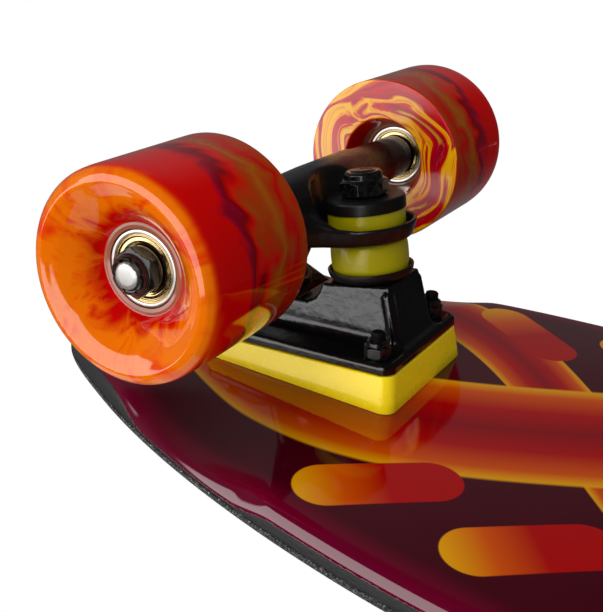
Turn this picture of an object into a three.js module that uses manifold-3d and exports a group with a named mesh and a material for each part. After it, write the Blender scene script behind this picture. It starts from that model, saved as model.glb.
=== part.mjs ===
// A cruiser skateboard, standing on its wheels: +X toward the nose, +Z up, millimetres.
// The origin is on the ground, under the middle of the board.
import * as THREE from "three";
import { mergeVertices } from "three/addons/utils/BufferGeometryUtils.js";
import { ConvexGeometry } from "three/addons/geometries/ConvexGeometry.js";
import Module from "manifold-3d";

// Board
const BOARD_LENGTH = 700;
const BOARD_HALF_WIDTH = 100;
const NOSE_REACH = 104; // from the front truck's centre to the nose tip
const WHEELBASE = 416; // between the truck centres
const WIDEST_FROM_NOSE = 214;
const NOSE_BLUNTNESS = 1.65;
const NOSE_FULLNESS = 1.95;
const TAIL_BLUNTNESS = 4.4;
const TAIL_FULLNESS = 2.3;
const DECK_THICKNESS = 10.5;
const DECK_TOP_RADIUS = 2;
const DECK_BOTTOM_RADIUS = 4;
const CONCAVE_RISE = 3; // how far the rails stand above the middle
const CONCAVE_FLAT = 34; // half width of the flat middle
const KICK_RADIUS = 150;
const NOSE_KICK_START = 50; // outward of the truck centre
const NOSE_KICK_DEGREES = 13;
const TAIL_KICK_START = 52;
const TAIL_KICK_DEGREES = 19;
const GRIP_THICKNESS = 1;
const GRIP_INSET = 0.8;
const SPINE_END = 60; // the deck's middle line stops this far from its tips

// Wheel wells scooped into the rails above each wheel
const WELL_DEPTH = 5;
const WELL_REACH = 22; // how far a well runs in from the rail
const WELL_HALF_LENGTH = 36;

// Wheels and bearings
const WHEEL_RADIUS = 30;
const WHEEL_HALF_WIDTH = 23.4;
const WHEEL_CENTRE = 77.1; // from the middle of the axle
const LIP_RADIUS = 25.9; // where the dish of the outer face starts
const HUB_RADIUS = 12;
const RECESS_RADIUS = 15.2; // round the hub on the inner face
const BEARING_RADIUS = 11;
const BEARING_WIDTH = 7;
const BEARING_SPACING = 10.6; // spacer between the two bearings of a wheel
const BEARING_SHOULDER = 9.4;
const INNER_RACE_RADIUS = 6.1;
const SPACER_RADIUS = 5.4;
const SPEED_WASHER_RADIUS = 6.6;
const SPEED_WASHER_THICKNESS = 1;
const AXLE_RADIUS = 3.97;
const AXLE_HALF_LENGTH = 96.7;
const AXLE_NUT_FLATS = 12.7;
const AXLE_NUT_HEIGHT = 5.8;

// Truck on the bench: z up from the baseplate's mounting face, x toward the board's end
const AXLE_X = 9.9;
const AXLE_Z = 46.3;
const HANGER_HALF_WIDTH = 63.5;
const TUBE_MIDDLE_RADIUS = 9.3;
const TUBE_END_RADIUS = 7.7;
const PIVOT_X = 19.5;
const PIVOT_Z = 14;
const PIVOT_BALL_RADIUS = 5;
const PIVOT_NOSE_LENGTH = 30;
const PIVOT_SEGMENTS = 12;
const CUP_RADIUS = 8;
const CUP_DEPTH = 7;
const CUP_RISE = 4.4;
const PLATE_HALF_LENGTH = 34.8;
const PLATE_HALF_WIDTH = 27.2;
const PLATE_THICKNESS = 3.4;
const PLATE_CORNER = 4;
const BOSS_HALF_WIDTH = 12;
const BOSS_FOOT = 3.5; // spread of the boss where it meets the flange
const BOLT_X = 26.9;
const BOLT_Y = 20.65;
const BOLT_RADIUS = 2.4;
const BOLT_HEAD_RADIUS = 4.6;
const BOLT_HEAD_DEPTH = 2.6;
const BOLT_TIP = 8.5; // above the flange
const LOCK_NUT_FLATS = 8;
const LOCK_NUT_HEIGHT = 6;

// Kingpin, with heights along it from where its axis meets the mounting face
const KINGPIN_X = -16.6;
const KINGPIN_LEAN_DEGREES = 7.5;
const KINGPIN_RADIUS = 4.76;
const KINGPIN_HEAD_RADIUS = 7.8;
const KINGPIN_HEAD_BOTTOM = 1.6;
const KINGPIN_HEAD_TOP = 6.9;
const KINGPIN_TOP = 57.4;
const KINGPIN_NUT_FLATS = 14.3;
const KINGPIN_NUT_HEIGHT = 7.8;
const SEAT = 22;
const RING_BOTTOM = 35;
const RING_FLOOR = 38.2;
const RING_TOP = 41;
const CAP_TOP = 49.1;
const RING_RADIUS = 16.4;
const RING_BORE = 8;
const RING_RECESS = 13.8; // radius of the recess for the upper bushing and its cap
const BUSHING_RADIUS = 12.5;
const BUSHING_CHAMFER = 0.8;
const WASHER_THICKNESS = 1.8;
const LOWER_RIM_RADIUS = 14.35;
const LOWER_RIM_HEIGHT = 3.4;
const CAP_RADIUS = 13.1;
const CAP_HEIGHT = 4.3;

// Wedge riser: higher at the kingpin end
const RISER_INNER = 12.24;
const RISER_OUTER = 6.56;
const RISER_HALF_LENGTH = 37;
const RISER_HALF_WIDTH = 29.4;
const RISER_DRAFT = 2.2;
const RISER_CORNER = 4;

// Clearance between pieces that touch
const GAP = 0.3;

const FRONT_X = BOARD_LENGTH / 2 - NOSE_REACH;
const REAR_X = FRONT_X - WHEELBASE;
const WIDEST_X = BOARD_LENGTH / 2 - WIDEST_FROM_NOSE;
const RISER_MID = (RISER_INNER + RISER_OUTER) / 2;
const WEDGE = Math.atan((RISER_INNER - RISER_OUTER) / (2 * RISER_HALF_LENGTH));
const AXLE_DROP = RISER_MID + AXLE_Z * Math.cos(WEDGE) - AXLE_X * Math.sin(WEDGE);
const DECK_UNDERSIDE = WHEEL_RADIUS + AXLE_DROP;
const KINGPIN_LEAN = THREE.MathUtils.degToRad(KINGPIN_LEAN_DEGREES);
const PIVOT_LEAN = Math.atan2(AXLE_X - PIVOT_X, AXLE_Z - PIVOT_Z);
const BEARING_MOUTH = BEARING_SPACING / 2 + BEARING_WIDTH;

const wasm = await Module();
wasm.setup();

// A closed three.js geometry as a solid that can be joined and cut.
function solid(geometry) {
  const bare = geometry.clone();
  bare.deleteAttribute("normal");
  bare.deleteAttribute("uv");
  const merged = mergeVertices(bare, 1e-3);
  return new wasm.Manifold(
    new wasm.Mesh({
      numProp: 3,
      vertProperties: merged.attributes.position.array,
      triVerts: new Uint32Array(merged.index.array),
    }),
  );
}

function geometryOf(body) {
  const mesh = body.getMesh();
  const geometry = new THREE.BufferGeometry();
  geometry.setAttribute("position", new THREE.BufferAttribute(mesh.vertProperties, 3));
  geometry.setIndex(new THREE.BufferAttribute(mesh.triVerts, 1));
  return geometry;
}

const joined = (...pieces) => pieces.reduce((whole, piece) => whole.add(piece));
const cut = (whole, ...tools) => tools.reduce((left, tool) => left.subtract(tool), whole);

// A turned form about Z. The profile lists [radius, height], anticlockwise.
function turned(profile, segments) {
  const points = profile.map(([r, z]) => new THREE.Vector2(r, z));
  return new THREE.LatheGeometry(points, segments).rotateX(Math.PI / 2);
}

// A turned ring: the profile is closed on itself.
const ringForm = (profile, segments) => turned([...profile, profile[0]], segments);

// A plain round bar about Z between two heights.
function bar(radius, bottom, top, segments) {
  return turned([[0, bottom], [radius, bottom], [radius, top], [0, top]], segments);
}

// A cutter for a round hole. Its flats, not its corners, lie at the radius.
function hole(radius, bottom, top, segments) {
  return solid(bar(radius / Math.cos(Math.PI / segments), bottom, top, segments));
}

// A form turned about Z laid along the axle, which runs across the board.
const alongAxle = (geometry) => geometry.rotateX(-Math.PI / 2);

// Corner points of a level rectangle with rounded corners. Its height may follow x.
function roundedRectangle(halfLength, halfWidth, radius, height) {
  const steps = 3;
  const points = [];
  for (const [sx, sy, start] of [[1, 1, 0], [-1, 1, 1], [-1, -1, 2], [1, -1, 3]]) {
    for (let i = 0; i <= steps; i++) {
      const angle = ((start + i / steps) * Math.PI) / 2;
      const x = sx * (halfLength - radius) + radius * Math.cos(angle);
      const y = sy * (halfWidth - radius) + radius * Math.sin(angle);
      points.push(new THREE.Vector3(x, y, height(x)));
    }
  }
  return points;
}

// Half width of the board at x, from a blunt nose to a blunter tail.
function halfWidth(x) {
  const forward = x > WIDEST_X;
  const reach = forward ? WIDEST_FROM_NOSE : BOARD_LENGTH - WIDEST_FROM_NOSE;
  const along = Math.min(1, Math.abs(x - WIDEST_X) / reach);
  const bluntness = forward ? NOSE_BLUNTNESS : TAIL_BLUNTNESS;
  const fullness = forward ? NOSE_FULLNESS : TAIL_FULLNESS;
  return BOARD_HALF_WIDTH * (1 - along ** bluntness) ** (1 / fullness);
}

// How far a kick has risen at a distance past its start: an arc, then a straight ramp.
function kickRise(past, degrees) {
  const angle = THREE.MathUtils.degToRad(degrees);
  const arc = KICK_RADIUS * Math.sin(angle);
  const onArc = Math.min(Math.max(past, 0), arc);
  const ramp = Math.max(past - arc, 0) * Math.tan(angle);
  return KICK_RADIUS - Math.sqrt(KICK_RADIUS ** 2 - onArc ** 2) + ramp;
}

// Height of the deck's underside: flat middle, raised rails, kicked nose and tail.
function underside(x, y) {
  const side = Math.max(0, Math.abs(y) - CONCAVE_FLAT) / (BOARD_HALF_WIDTH - CONCAVE_FLAT);
  const nose = kickRise(x - FRONT_X - NOSE_KICK_START, NOSE_KICK_DEGREES);
  const tail = kickRise(REAR_X - TAIL_KICK_START - x, TAIL_KICK_DEGREES);
  return DECK_UNDERSIDE + CONCAVE_RISE * side ** 2 + nose + tail;
}

// The board's outline from the nose tip round by the left rail and back by the right one.
function outline() {
  const perQuarter = 18;
  const left = [];
  for (let i = 0; i <= 2 * perQuarter; i++) {
    const turn = ((i / perQuarter) * Math.PI) / 2;
    const reach = i < perQuarter ? WIDEST_FROM_NOSE : BOARD_LENGTH - WIDEST_FROM_NOSE;
    const x = WIDEST_X + reach * Math.cos(turn);
    left.push(new THREE.Vector2(x, halfWidth(x)));
  }
  const right = left.slice(1, -1).reverse().map((p) => new THREE.Vector2(p.x, -p.y));
  return [...left, ...right];
}

// A closed sheet with the board's outline, from rings that run out from the middle line
// over the top, round the edge and back underneath. Each ring has an inset from the
// edge, its share of the way out, and its height above the deck's underside.
function boardSheet(rings) {
  const edge = outline();
  const count = edge.length;
  const spineEnd = BOARD_LENGTH / 2 - SPINE_END;
  const position = [];
  for (const { inset, share, lift } of rings) {
    edge.forEach((p, i) => {
      const next = edge[(i + 1) % count];
      const last = edge[(i + count - 1) % count];
      const along = next.clone().sub(last).normalize();
      const x = p.x - inset * along.y;
      const y = p.y + inset * along.x;
      const spineX = THREE.MathUtils.clamp(x, -spineEnd, spineEnd);
      const ringX = spineX + (x - spineX) * share;
      const ringY = p.y === 0 ? 0 : y * share;
      position.push(ringX, ringY, underside(ringX, ringY) + lift);
    });
  }
  const index = [];
  for (let ring = 0; ring + 1 < rings.length; ring++) {
    for (let i = 0; i < count; i++) {
      const a = ring * count + i;
      const b = ring * count + ((i + 1) % count);
      index.push(a, a + count, b, b, a + count, b + count);
    }
  }
  const geometry = new THREE.BufferGeometry();
  geometry.setAttribute("position", new THREE.Float32BufferAttribute(position, 3));
  geometry.setIndex(index);
  return closedSheet(geometry);
}

// Drops the triangles that the middle line folds flat.
function closedSheet(geometry) {
  const merged = mergeVertices(geometry, 1e-3);
  const kept = [];
  for (let i = 0; i < merged.index.count; i += 3) {
    const [a, b, c] = [0, 1, 2].map((k) => merged.index.getX(i + k));
    if (a !== b && b !== c && c !== a) kept.push(a, b, c);
  }
  merged.setIndex(kept);
  return merged;
}

// Rings for the deck: over the top, round its two edge radii, and back underneath.
function deckRings() {
  const shares = [0, 0.34, 0.7];
  const face = (lift, order) => order.map((share) => ({ inset: 0, share, lift }));
  const bend = (radius, height, angles, sign) =>
    angles.map((degrees) => {
      const angle = THREE.MathUtils.degToRad(degrees);
      const lift = height + sign * radius * Math.sin(angle);
      return { inset: radius * (1 - Math.cos(angle)), share: 1, lift };
    });
  return [
    ...face(DECK_THICKNESS, shares),
    ...bend(DECK_TOP_RADIUS, DECK_THICKNESS - DECK_TOP_RADIUS, [90, 30, 0], 1),
    ...bend(DECK_BOTTOM_RADIUS, DECK_BOTTOM_RADIUS, [0, 30, 60, 90], -1),
    ...face(0, [...shares].reverse()),
  ];
}

function gripRings() {
  const shares = [0, 0.34, 0.7, 1];
  const face = (lift, order) => order.map((share) => ({ inset: GRIP_INSET, share, lift }));
  const top = DECK_THICKNESS + GRIP_THICKNESS;
  return [...face(top, shares), ...face(DECK_THICKNESS + GAP, [...shares].reverse())];
}

// A scoop over one wheel: a large drum whose underside slopes up toward the rail.
function wheelWell(axleX, side) {
  const rail = halfWidth(axleX);
  const drum = (WELL_HALF_LENGTH ** 2 + WELL_DEPTH ** 2) / (2 * WELL_DEPTH);
  const slope = Math.atan(WELL_DEPTH / WELL_REACH);
  const rise = underside(axleX, rail) + WELL_DEPTH;
  const form = new THREE.CylinderGeometry(drum, drum, 2.8 * WELL_REACH, 120);
  form.translate(0, 0, -drum);
  form.rotateX(side * slope);
  form.translate(axleX, side * rail, rise);
  return solid(form);
}

// From the bench to the board: turned upside down, tipped by the wedge, facing an end.
function underBoard(atX, facing) {
  const heading = new THREE.Group();
  heading.position.set(atX, 0, DECK_UNDERSIDE - RISER_MID);
  heading.rotation.z = facing > 0 ? 0 : Math.PI;
  const tipped = new THREE.Group();
  tipped.rotation.y = -WEDGE;
  const bench = new THREE.Group();
  bench.rotation.x = Math.PI;
  heading.add(tipped);
  tipped.add(bench);
  heading.updateMatrixWorld(true);
  return { heading, bench };
}

// Bench height of the plane that lies a given distance above the deck's underside.
function benchHeight(x, above) {
  return -(RISER_MID + above - x * Math.sin(WEDGE)) / Math.cos(WEDGE);
}

const BOLT_PLACES = [
  ["inner_left", -BOLT_X, -BOLT_Y],
  ["inner_right", -BOLT_X, BOLT_Y],
  ["outer_left", BOLT_X, -BOLT_Y],
  ["outer_right", BOLT_X, BOLT_Y],
];

// Holes for the mounting bolts, on the bench, countersunk from a height above the deck.
function boltHoles(headAbove, clearance) {
  const past = 4; // how far the cutter stands above the head and below the flange
  return BOLT_PLACES.map(([, x, y]) => {
    const head = benchHeight(x, headAbove);
    const narrow = BOLT_RADIUS + clearance;
    const wide = BOLT_HEAD_RADIUS + clearance;
    const profile = [
      [0, head - past], [wide + past, head - past], [wide, head], [narrow, head + BOLT_HEAD_DEPTH],
      [narrow, PLATE_THICKNESS + past], [0, PLATE_THICKNESS + past],
    ];
    return solid(turned(profile, 8).translate(x, y, 0));
  });
}

// A countersunk bolt with a shallow drive recess. Its head is flush with the grip.
function mountingBolt(x) {
  const head = benchHeight(x, DECK_THICKNESS + GRIP_THICKNESS);
  const tip = PLATE_THICKNESS + BOLT_TIP;
  const chamfer = 0.6;
  return turned(
    [
      [0, head + 1.6], [2, head], [BOLT_HEAD_RADIUS, head], [BOLT_RADIUS, head + BOLT_HEAD_DEPTH],
      [BOLT_RADIUS, tip - chamfer], [BOLT_RADIUS - chamfer, tip], [0, tip],
    ],
    10,
  );
}

// A hexagon lock nut with the round collar of its locking ring on top.
function lockNut(flats, height, shaft) {
  const hexHeight = 0.68 * height;
  const corner = flats / Math.sqrt(3);
  const collar = 0.42 * flats;
  const hex = new THREE.CylinderGeometry(corner, corner, hexHeight, 6);
  hex.rotateX(Math.PI / 2).translate(0, 0, hexHeight / 2);
  const crown = turned(
    [
      [0, hexHeight / 2], [collar, hexHeight / 2], [collar, 0.9 * height],
      [0.8 * collar, height], [0, height],
    ],
    12,
  );
  const bore = hole(shaft + GAP, -height, 2 * height, 8);
  return geometryOf(cut(joined(solid(hex), solid(crown)), bore));
}

// Leans a bench piece that is turned about Z onto the kingpin's axis, or the pivot's.
const onKingpin = (geometry) => geometry.rotateY(KINGPIN_LEAN).translate(KINGPIN_X, 0, 0);
const onPivot = (geometry) => geometry.rotateY(PIVOT_LEAN).translate(PIVOT_X, 0, PIVOT_Z);
const throughKingpin = (cutter) =>
  cutter.rotate([0, KINGPIN_LEAN_DEGREES, 0]).translate([KINGPIN_X, 0, 0]);
const throughPivot = (cutter) =>
  cutter.rotate([0, THREE.MathUtils.radToDeg(PIVOT_LEAN), 0]).translate([PIVOT_X, 0, PIVOT_Z]);

// The cast boss from the side: kingpin seat, saddle, then the pivot housing's ramp.
function bossSide() {
  const foot = 1;
  const side = new THREE.Shape();
  side.moveTo(-31.6, foot);
  side.lineTo(-31.6, PLATE_THICKNESS);
  side.lineTo(-25.2, SEAT + 1.5);
  side.lineTo(-1.2, 20.3);
  side.quadraticCurveTo(2.4, 12.4, 8, 12.6);
  side.lineTo(14, 15.6);
  side.lineTo(26.4, 21.7);
  side.quadraticCurveTo(30.4, 22, 31, 17);
  side.lineTo(32.4, PLATE_THICKNESS);
  side.lineTo(32.4, foot);
  return side;
}

function baseplate() {
  const chamfer = 1;
  const corner = PLATE_CORNER;
  const flange = new ConvexGeometry([
    ...roundedRectangle(PLATE_HALF_LENGTH, PLATE_HALF_WIDTH, corner, () => 0),
    ...roundedRectangle(PLATE_HALF_LENGTH, PLATE_HALF_WIDTH, corner, () => PLATE_THICKNESS - chamfer),
    ...roundedRectangle(
      PLATE_HALF_LENGTH - chamfer, PLATE_HALF_WIDTH - chamfer, corner - chamfer, () => PLATE_THICKNESS,
    ),
  ]);
  const depth = 2 * BOSS_HALF_WIDTH;
  const boss = new THREE.ExtrudeGeometry(bossSide(), { depth, bevelEnabled: false, curveSegments: 5 });
  boss.rotateX(Math.PI / 2).translate(0, BOSS_HALF_WIDTH, 0);
  const spread = BOSS_HALF_WIDTH + BOSS_FOOT;
  const foot = new ConvexGeometry([
    ...roundedRectangle(33, spread, corner, () => 1),
    ...roundedRectangle(33, spread, corner, () => PLATE_THICKNESS),
    ...roundedRectangle(31.6, BOSS_HALF_WIDTH, corner, () => 6),
  ]);
  const headRoom = KINGPIN_HEAD_RADIUS + 0.4;
  return cut(
    joined(solid(flange), solid(boss), solid(foot)),
    throughKingpin(hole(18, SEAT, SEAT + 12, 8)),
    throughKingpin(hole(KINGPIN_RADIUS + GAP, -5, SEAT + 5, 12)),
    throughKingpin(hole(headRoom, -5, KINGPIN_HEAD_TOP + GAP, 16)),
    throughPivot(hole(CUP_RADIUS + GAP, -CUP_DEPTH - GAP, 20, 12)),
    ...boltHoles(0, 0.4),
  );
}

// A turned bar along the axle's line, from its radius at each distance out from the middle.
function axleBar(radii, segments) {
  const near = [...radii].reverse().map(([out, r]) => [r, -out]);
  const far = radii.map(([out, r]) => [r, out]);
  const end = radii.at(-1)[0];
  const profile = [[0, -end], ...near, ...far, [0, end]];
  return alongAxle(turned(profile, segments)).translate(AXLE_X, 0, AXLE_Z);
}

// A circle of points about the kingpin, at a height along it.
function kingpinCircle(radius, height) {
  const count = 18;
  const lean = new THREE.Matrix4().makeRotationY(KINGPIN_LEAN).setPosition(KINGPIN_X, 0, 0);
  return Array.from({ length: count }, (_, i) => {
    const angle = (i / count) * 2 * Math.PI;
    const point = new THREE.Vector3(radius * Math.cos(angle), radius * Math.sin(angle), height);
    return point.applyMatrix4(lean);
  });
}

// A circle of points about the axle, at a distance out along it.
function axleCircle(radius, out) {
  const count = 12;
  return Array.from({ length: count }, (_, i) => {
    const angle = (i / count) * 2 * Math.PI;
    return new THREE.Vector3(AXLE_X + radius * Math.cos(angle), out, AXLE_Z + radius * Math.sin(angle));
  });
}

// Profile of the lower half of a ball, from the axis out.
function ballUnderside(radius) {
  return [-90, -60, -30, 0].map((degrees) => {
    const angle = THREE.MathUtils.degToRad(degrees);
    return [degrees === -90 ? 0 : radius * Math.cos(angle), radius * Math.sin(angle)];
  });
}

// One casting: the axle tube, two arms that sweep to the bushing ring, and the pivot nose.
function hanger() {
  const chamfer = 0.8;
  const tube = axleBar(
    [
      [8, TUBE_MIDDLE_RADIUS], [20, TUBE_MIDDLE_RADIUS - 0.4], [40, TUBE_END_RADIUS + 0.6],
      [HANGER_HALF_WIDTH - chamfer, TUBE_END_RADIUS], [HANGER_HALF_WIDTH, TUBE_END_RADIUS - chamfer],
    ],
    16,
  );
  const armReach = 28;
  const armRadius = 6.6;
  const arms = new ConvexGeometry([
    ...kingpinCircle(RING_RADIUS, RING_BOTTOM + chamfer),
    ...kingpinCircle(RING_RADIUS, RING_TOP - chamfer),
    ...kingpinCircle(RING_RADIUS - chamfer, RING_BOTTOM),
    ...kingpinCircle(RING_RADIUS - chamfer, RING_TOP),
    ...axleCircle(armRadius, armReach),
    ...axleCircle(armRadius, -armReach),
  ]);
  const crown = new ConvexGeometry([
    ...axleCircle(9, 13),
    ...axleCircle(9, -13),
    ...kingpinCircle(10, RING_BOTTOM).filter((p) => p.x > KINGPIN_X + 6),
  ]);
  const nose = onPivot(turned(
    [
      ...ballUnderside(PIVOT_BALL_RADIUS), [4.6, 2], [4.9, 8], [5.7, 17], [6.8, 24],
      [0, PIVOT_NOSE_LENGTH],
    ],
    PIVOT_SEGMENTS,
  ));
  const recess = throughKingpin(solid(turned(
    [
      [0, RING_FLOOR], [RING_RECESS, RING_FLOOR], [RING_RECESS + 0.7, RING_TOP],
      [RING_RECESS + 1.8, RING_TOP + 6], [RING_RECESS + 3.4, RING_TOP + 21], [0, RING_TOP + 21],
    ],
    18,
  )));
  const bushingRoom = throughKingpin(solid(turned(
    [[0, SEAT - 8], [18, SEAT - 8], [14, RING_BOTTOM], [0, RING_BOTTOM]],
    16,
  )));
  const kingpinHole = throughKingpin(hole(RING_BORE, RING_BOTTOM - 9, RING_FLOOR + 4, 12));
  const axleBore = solid(axleBar([[HANGER_HALF_WIDTH + 20, AXLE_RADIUS + 0.4]], 10));
  const casting = joined(solid(tube), solid(arms), solid(crown), solid(nose));
  return cut(casting, kingpinHole, recess, bushingRoom, axleBore);
}

function kingpin() {
  const chamfer = 1;
  return turned(
    [
      [0, KINGPIN_HEAD_BOTTOM], [KINGPIN_HEAD_RADIUS, KINGPIN_HEAD_BOTTOM],
      [KINGPIN_HEAD_RADIUS, KINGPIN_HEAD_TOP], [KINGPIN_RADIUS, KINGPIN_HEAD_TOP],
      [KINGPIN_RADIUS, KINGPIN_TOP - chamfer], [KINGPIN_RADIUS - chamfer, KINGPIN_TOP], [0, KINGPIN_TOP],
    ],
    16,
  );
}

// Cup washer under the lower bushing, its rim toward the road.
function boardsideWasher() {
  const bore = KINGPIN_RADIUS + GAP;
  const bottom = SEAT + GAP;
  const floor = bottom + WASHER_THICKNESS;
  const rim = bottom + LOWER_RIM_HEIGHT;
  return ringForm(
    [
      [bore, bottom], [LOWER_RIM_RADIUS - 1.2, bottom], [LOWER_RIM_RADIUS - 0.4, bottom + 1.4],
      [LOWER_RIM_RADIUS, rim], [LOWER_RIM_RADIUS - 0.8, rim], [LOWER_RIM_RADIUS - 1.3, floor],
      [bore, floor],
    ],
    16,
  );
}

// A bushing between two heights, a little barrelled, its free end chamfered.
function bushing(bottom, top, belly) {
  const bore = KINGPIN_RADIUS + 0.5;
  const chamfer = BUSHING_CHAMFER;
  return ringForm(
    [
      [bore, bottom], [BUSHING_RADIUS - chamfer / 2, bottom], [BUSHING_RADIUS, bottom + chamfer],
      [BUSHING_RADIUS + belly, (bottom + top) / 2], [BUSHING_RADIUS, top - chamfer],
      [BUSHING_RADIUS - chamfer, top], [bore, top],
    ],
    16,
  );
}

// Cap washer over the upper bushing, its rim toward the deck.
function roadsideWasher() {
  const bore = KINGPIN_RADIUS + GAP;
  const roof = CAP_TOP - 2;
  const rim = CAP_TOP - CAP_HEIGHT;
  const chamfer = 0.8;
  return ringForm(
    [
      [bore, roof], [CAP_RADIUS - 0.6, roof], [CAP_RADIUS - 0.6, rim], [CAP_RADIUS, rim],
      [CAP_RADIUS, CAP_TOP - chamfer], [CAP_RADIUS - chamfer, CAP_TOP], [bore, CAP_TOP],
    ],
    16,
  );
}

// Socket for the hanger's nose, pressed into the baseplate.
function pivotCup() {
  const seat = (PIVOT_BALL_RADIUS + GAP) / Math.cos(Math.PI / PIVOT_SEGMENTS);
  const mouth = CUP_RADIUS - 1.2;
  return turned(
    [
      [0, -CUP_DEPTH], [CUP_RADIUS, -CUP_DEPTH], [CUP_RADIUS, CUP_RISE], [mouth, CUP_RISE],
      [seat, 0.4], ...ballUnderside(seat).reverse(),
    ],
    PIVOT_SEGMENTS,
  );
}

function riserPad() {
  const length = RISER_HALF_LENGTH;
  const width = RISER_HALF_WIDTH;
  const top = () => DECK_UNDERSIDE - GAP;
  const bottom = (x) => DECK_UNDERSIDE - RISER_MID + x * Math.tan(WEDGE) + GAP;
  return new ConvexGeometry([
    ...roundedRectangle(length, width, RISER_CORNER, top),
    ...roundedRectangle(length - RISER_DRAFT, width - RISER_DRAFT, RISER_CORNER, bottom),
  ]);
}

// A wheel with a dished outer face and, on the inner face, a recess round the hub.
function wheel() {
  const seat = BEARING_RADIUS + GAP / 2;
  const shoulder = BEARING_SPACING / 2 - GAP;
  const hub = BEARING_MOUTH + 0.4;
  return ringForm(
    [
      [seat, -BEARING_MOUTH], [HUB_RADIUS, -hub], [RECESS_RADIUS, -WHEEL_HALF_WIDTH],
      [29.3, -WHEEL_HALF_WIDTH], [WHEEL_RADIUS, -22.7],
      [WHEEL_RADIUS, 18.8], [28.9, 22], [LIP_RADIUS, WHEEL_HALF_WIDTH],
      [20.6, 18.2], [16.6, 14.6], [HUB_RADIUS, hub], [seat, BEARING_MOUTH],
      [seat, shoulder], [BEARING_SHOULDER, shoulder], [BEARING_SHOULDER, -shoulder], [seat, -shoulder],
    ],
    32,
  );
}

// Outer race with the two shields that close it, one turned piece.
function outerRace() {
  const outside = BEARING_RADIUS - GAP / 2;
  const half = BEARING_WIDTH / 2;
  const bore = INNER_RACE_RADIUS + 0.4;
  const land = 9.6; // where the shield meets the race
  const shieldTop = half - 0.4;
  const shieldFloor = half - 1.1;
  return ringForm(
    [
      [outside, -half], [outside, half], [land, half], [bore, shieldTop], [bore, shieldFloor],
      [land - 0.6, shieldFloor], [land - 0.6, -shieldFloor], [bore, -shieldFloor],
      [bore, -shieldTop], [land, -half],
    ],
    14,
  );
}

// What the axle nut clamps in one column: washer, inner race, spacer, inner race, washer.
function bearingSleeve() {
  const bore = AXLE_RADIUS + GAP;
  const spacer = BEARING_SPACING / 2;
  const race = BEARING_MOUTH;
  const end = race + SPEED_WASHER_THICKNESS;
  return ringForm(
    [
      [bore, -end], [SPEED_WASHER_RADIUS, -end], [SPEED_WASHER_RADIUS, -race],
      [INNER_RACE_RADIUS, -race], [INNER_RACE_RADIUS, -spacer], [SPACER_RADIUS, -spacer],
      [SPACER_RADIUS, spacer], [INNER_RACE_RADIUS, spacer], [INNER_RACE_RADIUS, race],
      [SPEED_WASHER_RADIUS, race], [SPEED_WASHER_RADIUS, end], [bore, end],
    ],
    12,
  );
}

const finish = (color, roughness, metalness = 0) =>
  new THREE.MeshStandardMaterial({ color, roughness, metalness });
const maple = finish(0x4c0716, 0.25);
const grit = finish(0x2b2c2e, 0.95);
const yellowPlastic = finish(0xf2d21c, 0.35);
const blackCasting = finish(0x141416, 0.4, 0.2);
const blackSteel = finish(0x17171a, 0.35, 0.8);
const oliveUrethane = finish(0xa39a12, 0.35);
const orangeUrethane = finish(0xe0560f, 0.2);
const brightSteel = finish(0xc4c2bd, 0.25, 1);
const pivotUrethane = finish(0x1e1d1a, 0.5);

const skateboard = new THREE.Group();

function add(name, geometry, material, parent = skateboard) {
  const mesh = new THREE.Mesh(geometry, material);
  mesh.name = name;
  parent.add(mesh);
  return mesh;
}

// A truck's pieces that stack along the kingpin or fill the baseplate.
function addTruck(end, bench) {
  add(`${end}_baseplate`, geometryOf(baseplateSolid), blackCasting, bench);
  add(`${end}_pivot_cup`, onPivot(pivotCup()), pivotUrethane, bench);
  add(`${end}_kingpin`, onKingpin(kingpin()), blackSteel, bench);
  add(`${end}_boardside_washer`, onKingpin(boardsideWasher()), blackSteel, bench);
  const lower = bushing(SEAT + WASHER_THICKNESS + 2 * GAP, RING_BOTTOM - GAP, 0.2);
  add(`${end}_boardside_bushing`, onKingpin(lower), oliveUrethane, bench);
  add(`${end}_hanger`, geometryOf(hangerSolid), blackCasting, bench);
  const upper = bushing(RING_FLOOR + GAP, CAP_TOP - 2 - GAP, 0);
  add(`${end}_roadside_bushing`, onKingpin(upper), oliveUrethane, bench);
  add(`${end}_roadside_washer`, onKingpin(roadsideWasher()), blackSteel, bench);
  const nut = lockNut(KINGPIN_NUT_FLATS, KINGPIN_NUT_HEIGHT, KINGPIN_RADIUS);
  add(`${end}_kingpin_nut`, onKingpin(nut.translate(0, 0, CAP_TOP + GAP)), blackSteel, bench);
}

function addMountingHardware(end, bench) {
  for (const [place, x, y] of BOLT_PLACES) {
    add(`${end}_bolt_${place}`, mountingBolt(x).translate(x, y, 0), blackSteel, bench);
    const nut = lockNut(LOCK_NUT_FLATS, LOCK_NUT_HEIGHT, BOLT_RADIUS);
    nut.translate(x, y, PLATE_THICKNESS + GAP);
    add(`${end}_lock_nut_${place}`, nut, blackSteel, bench);
  }
}

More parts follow.
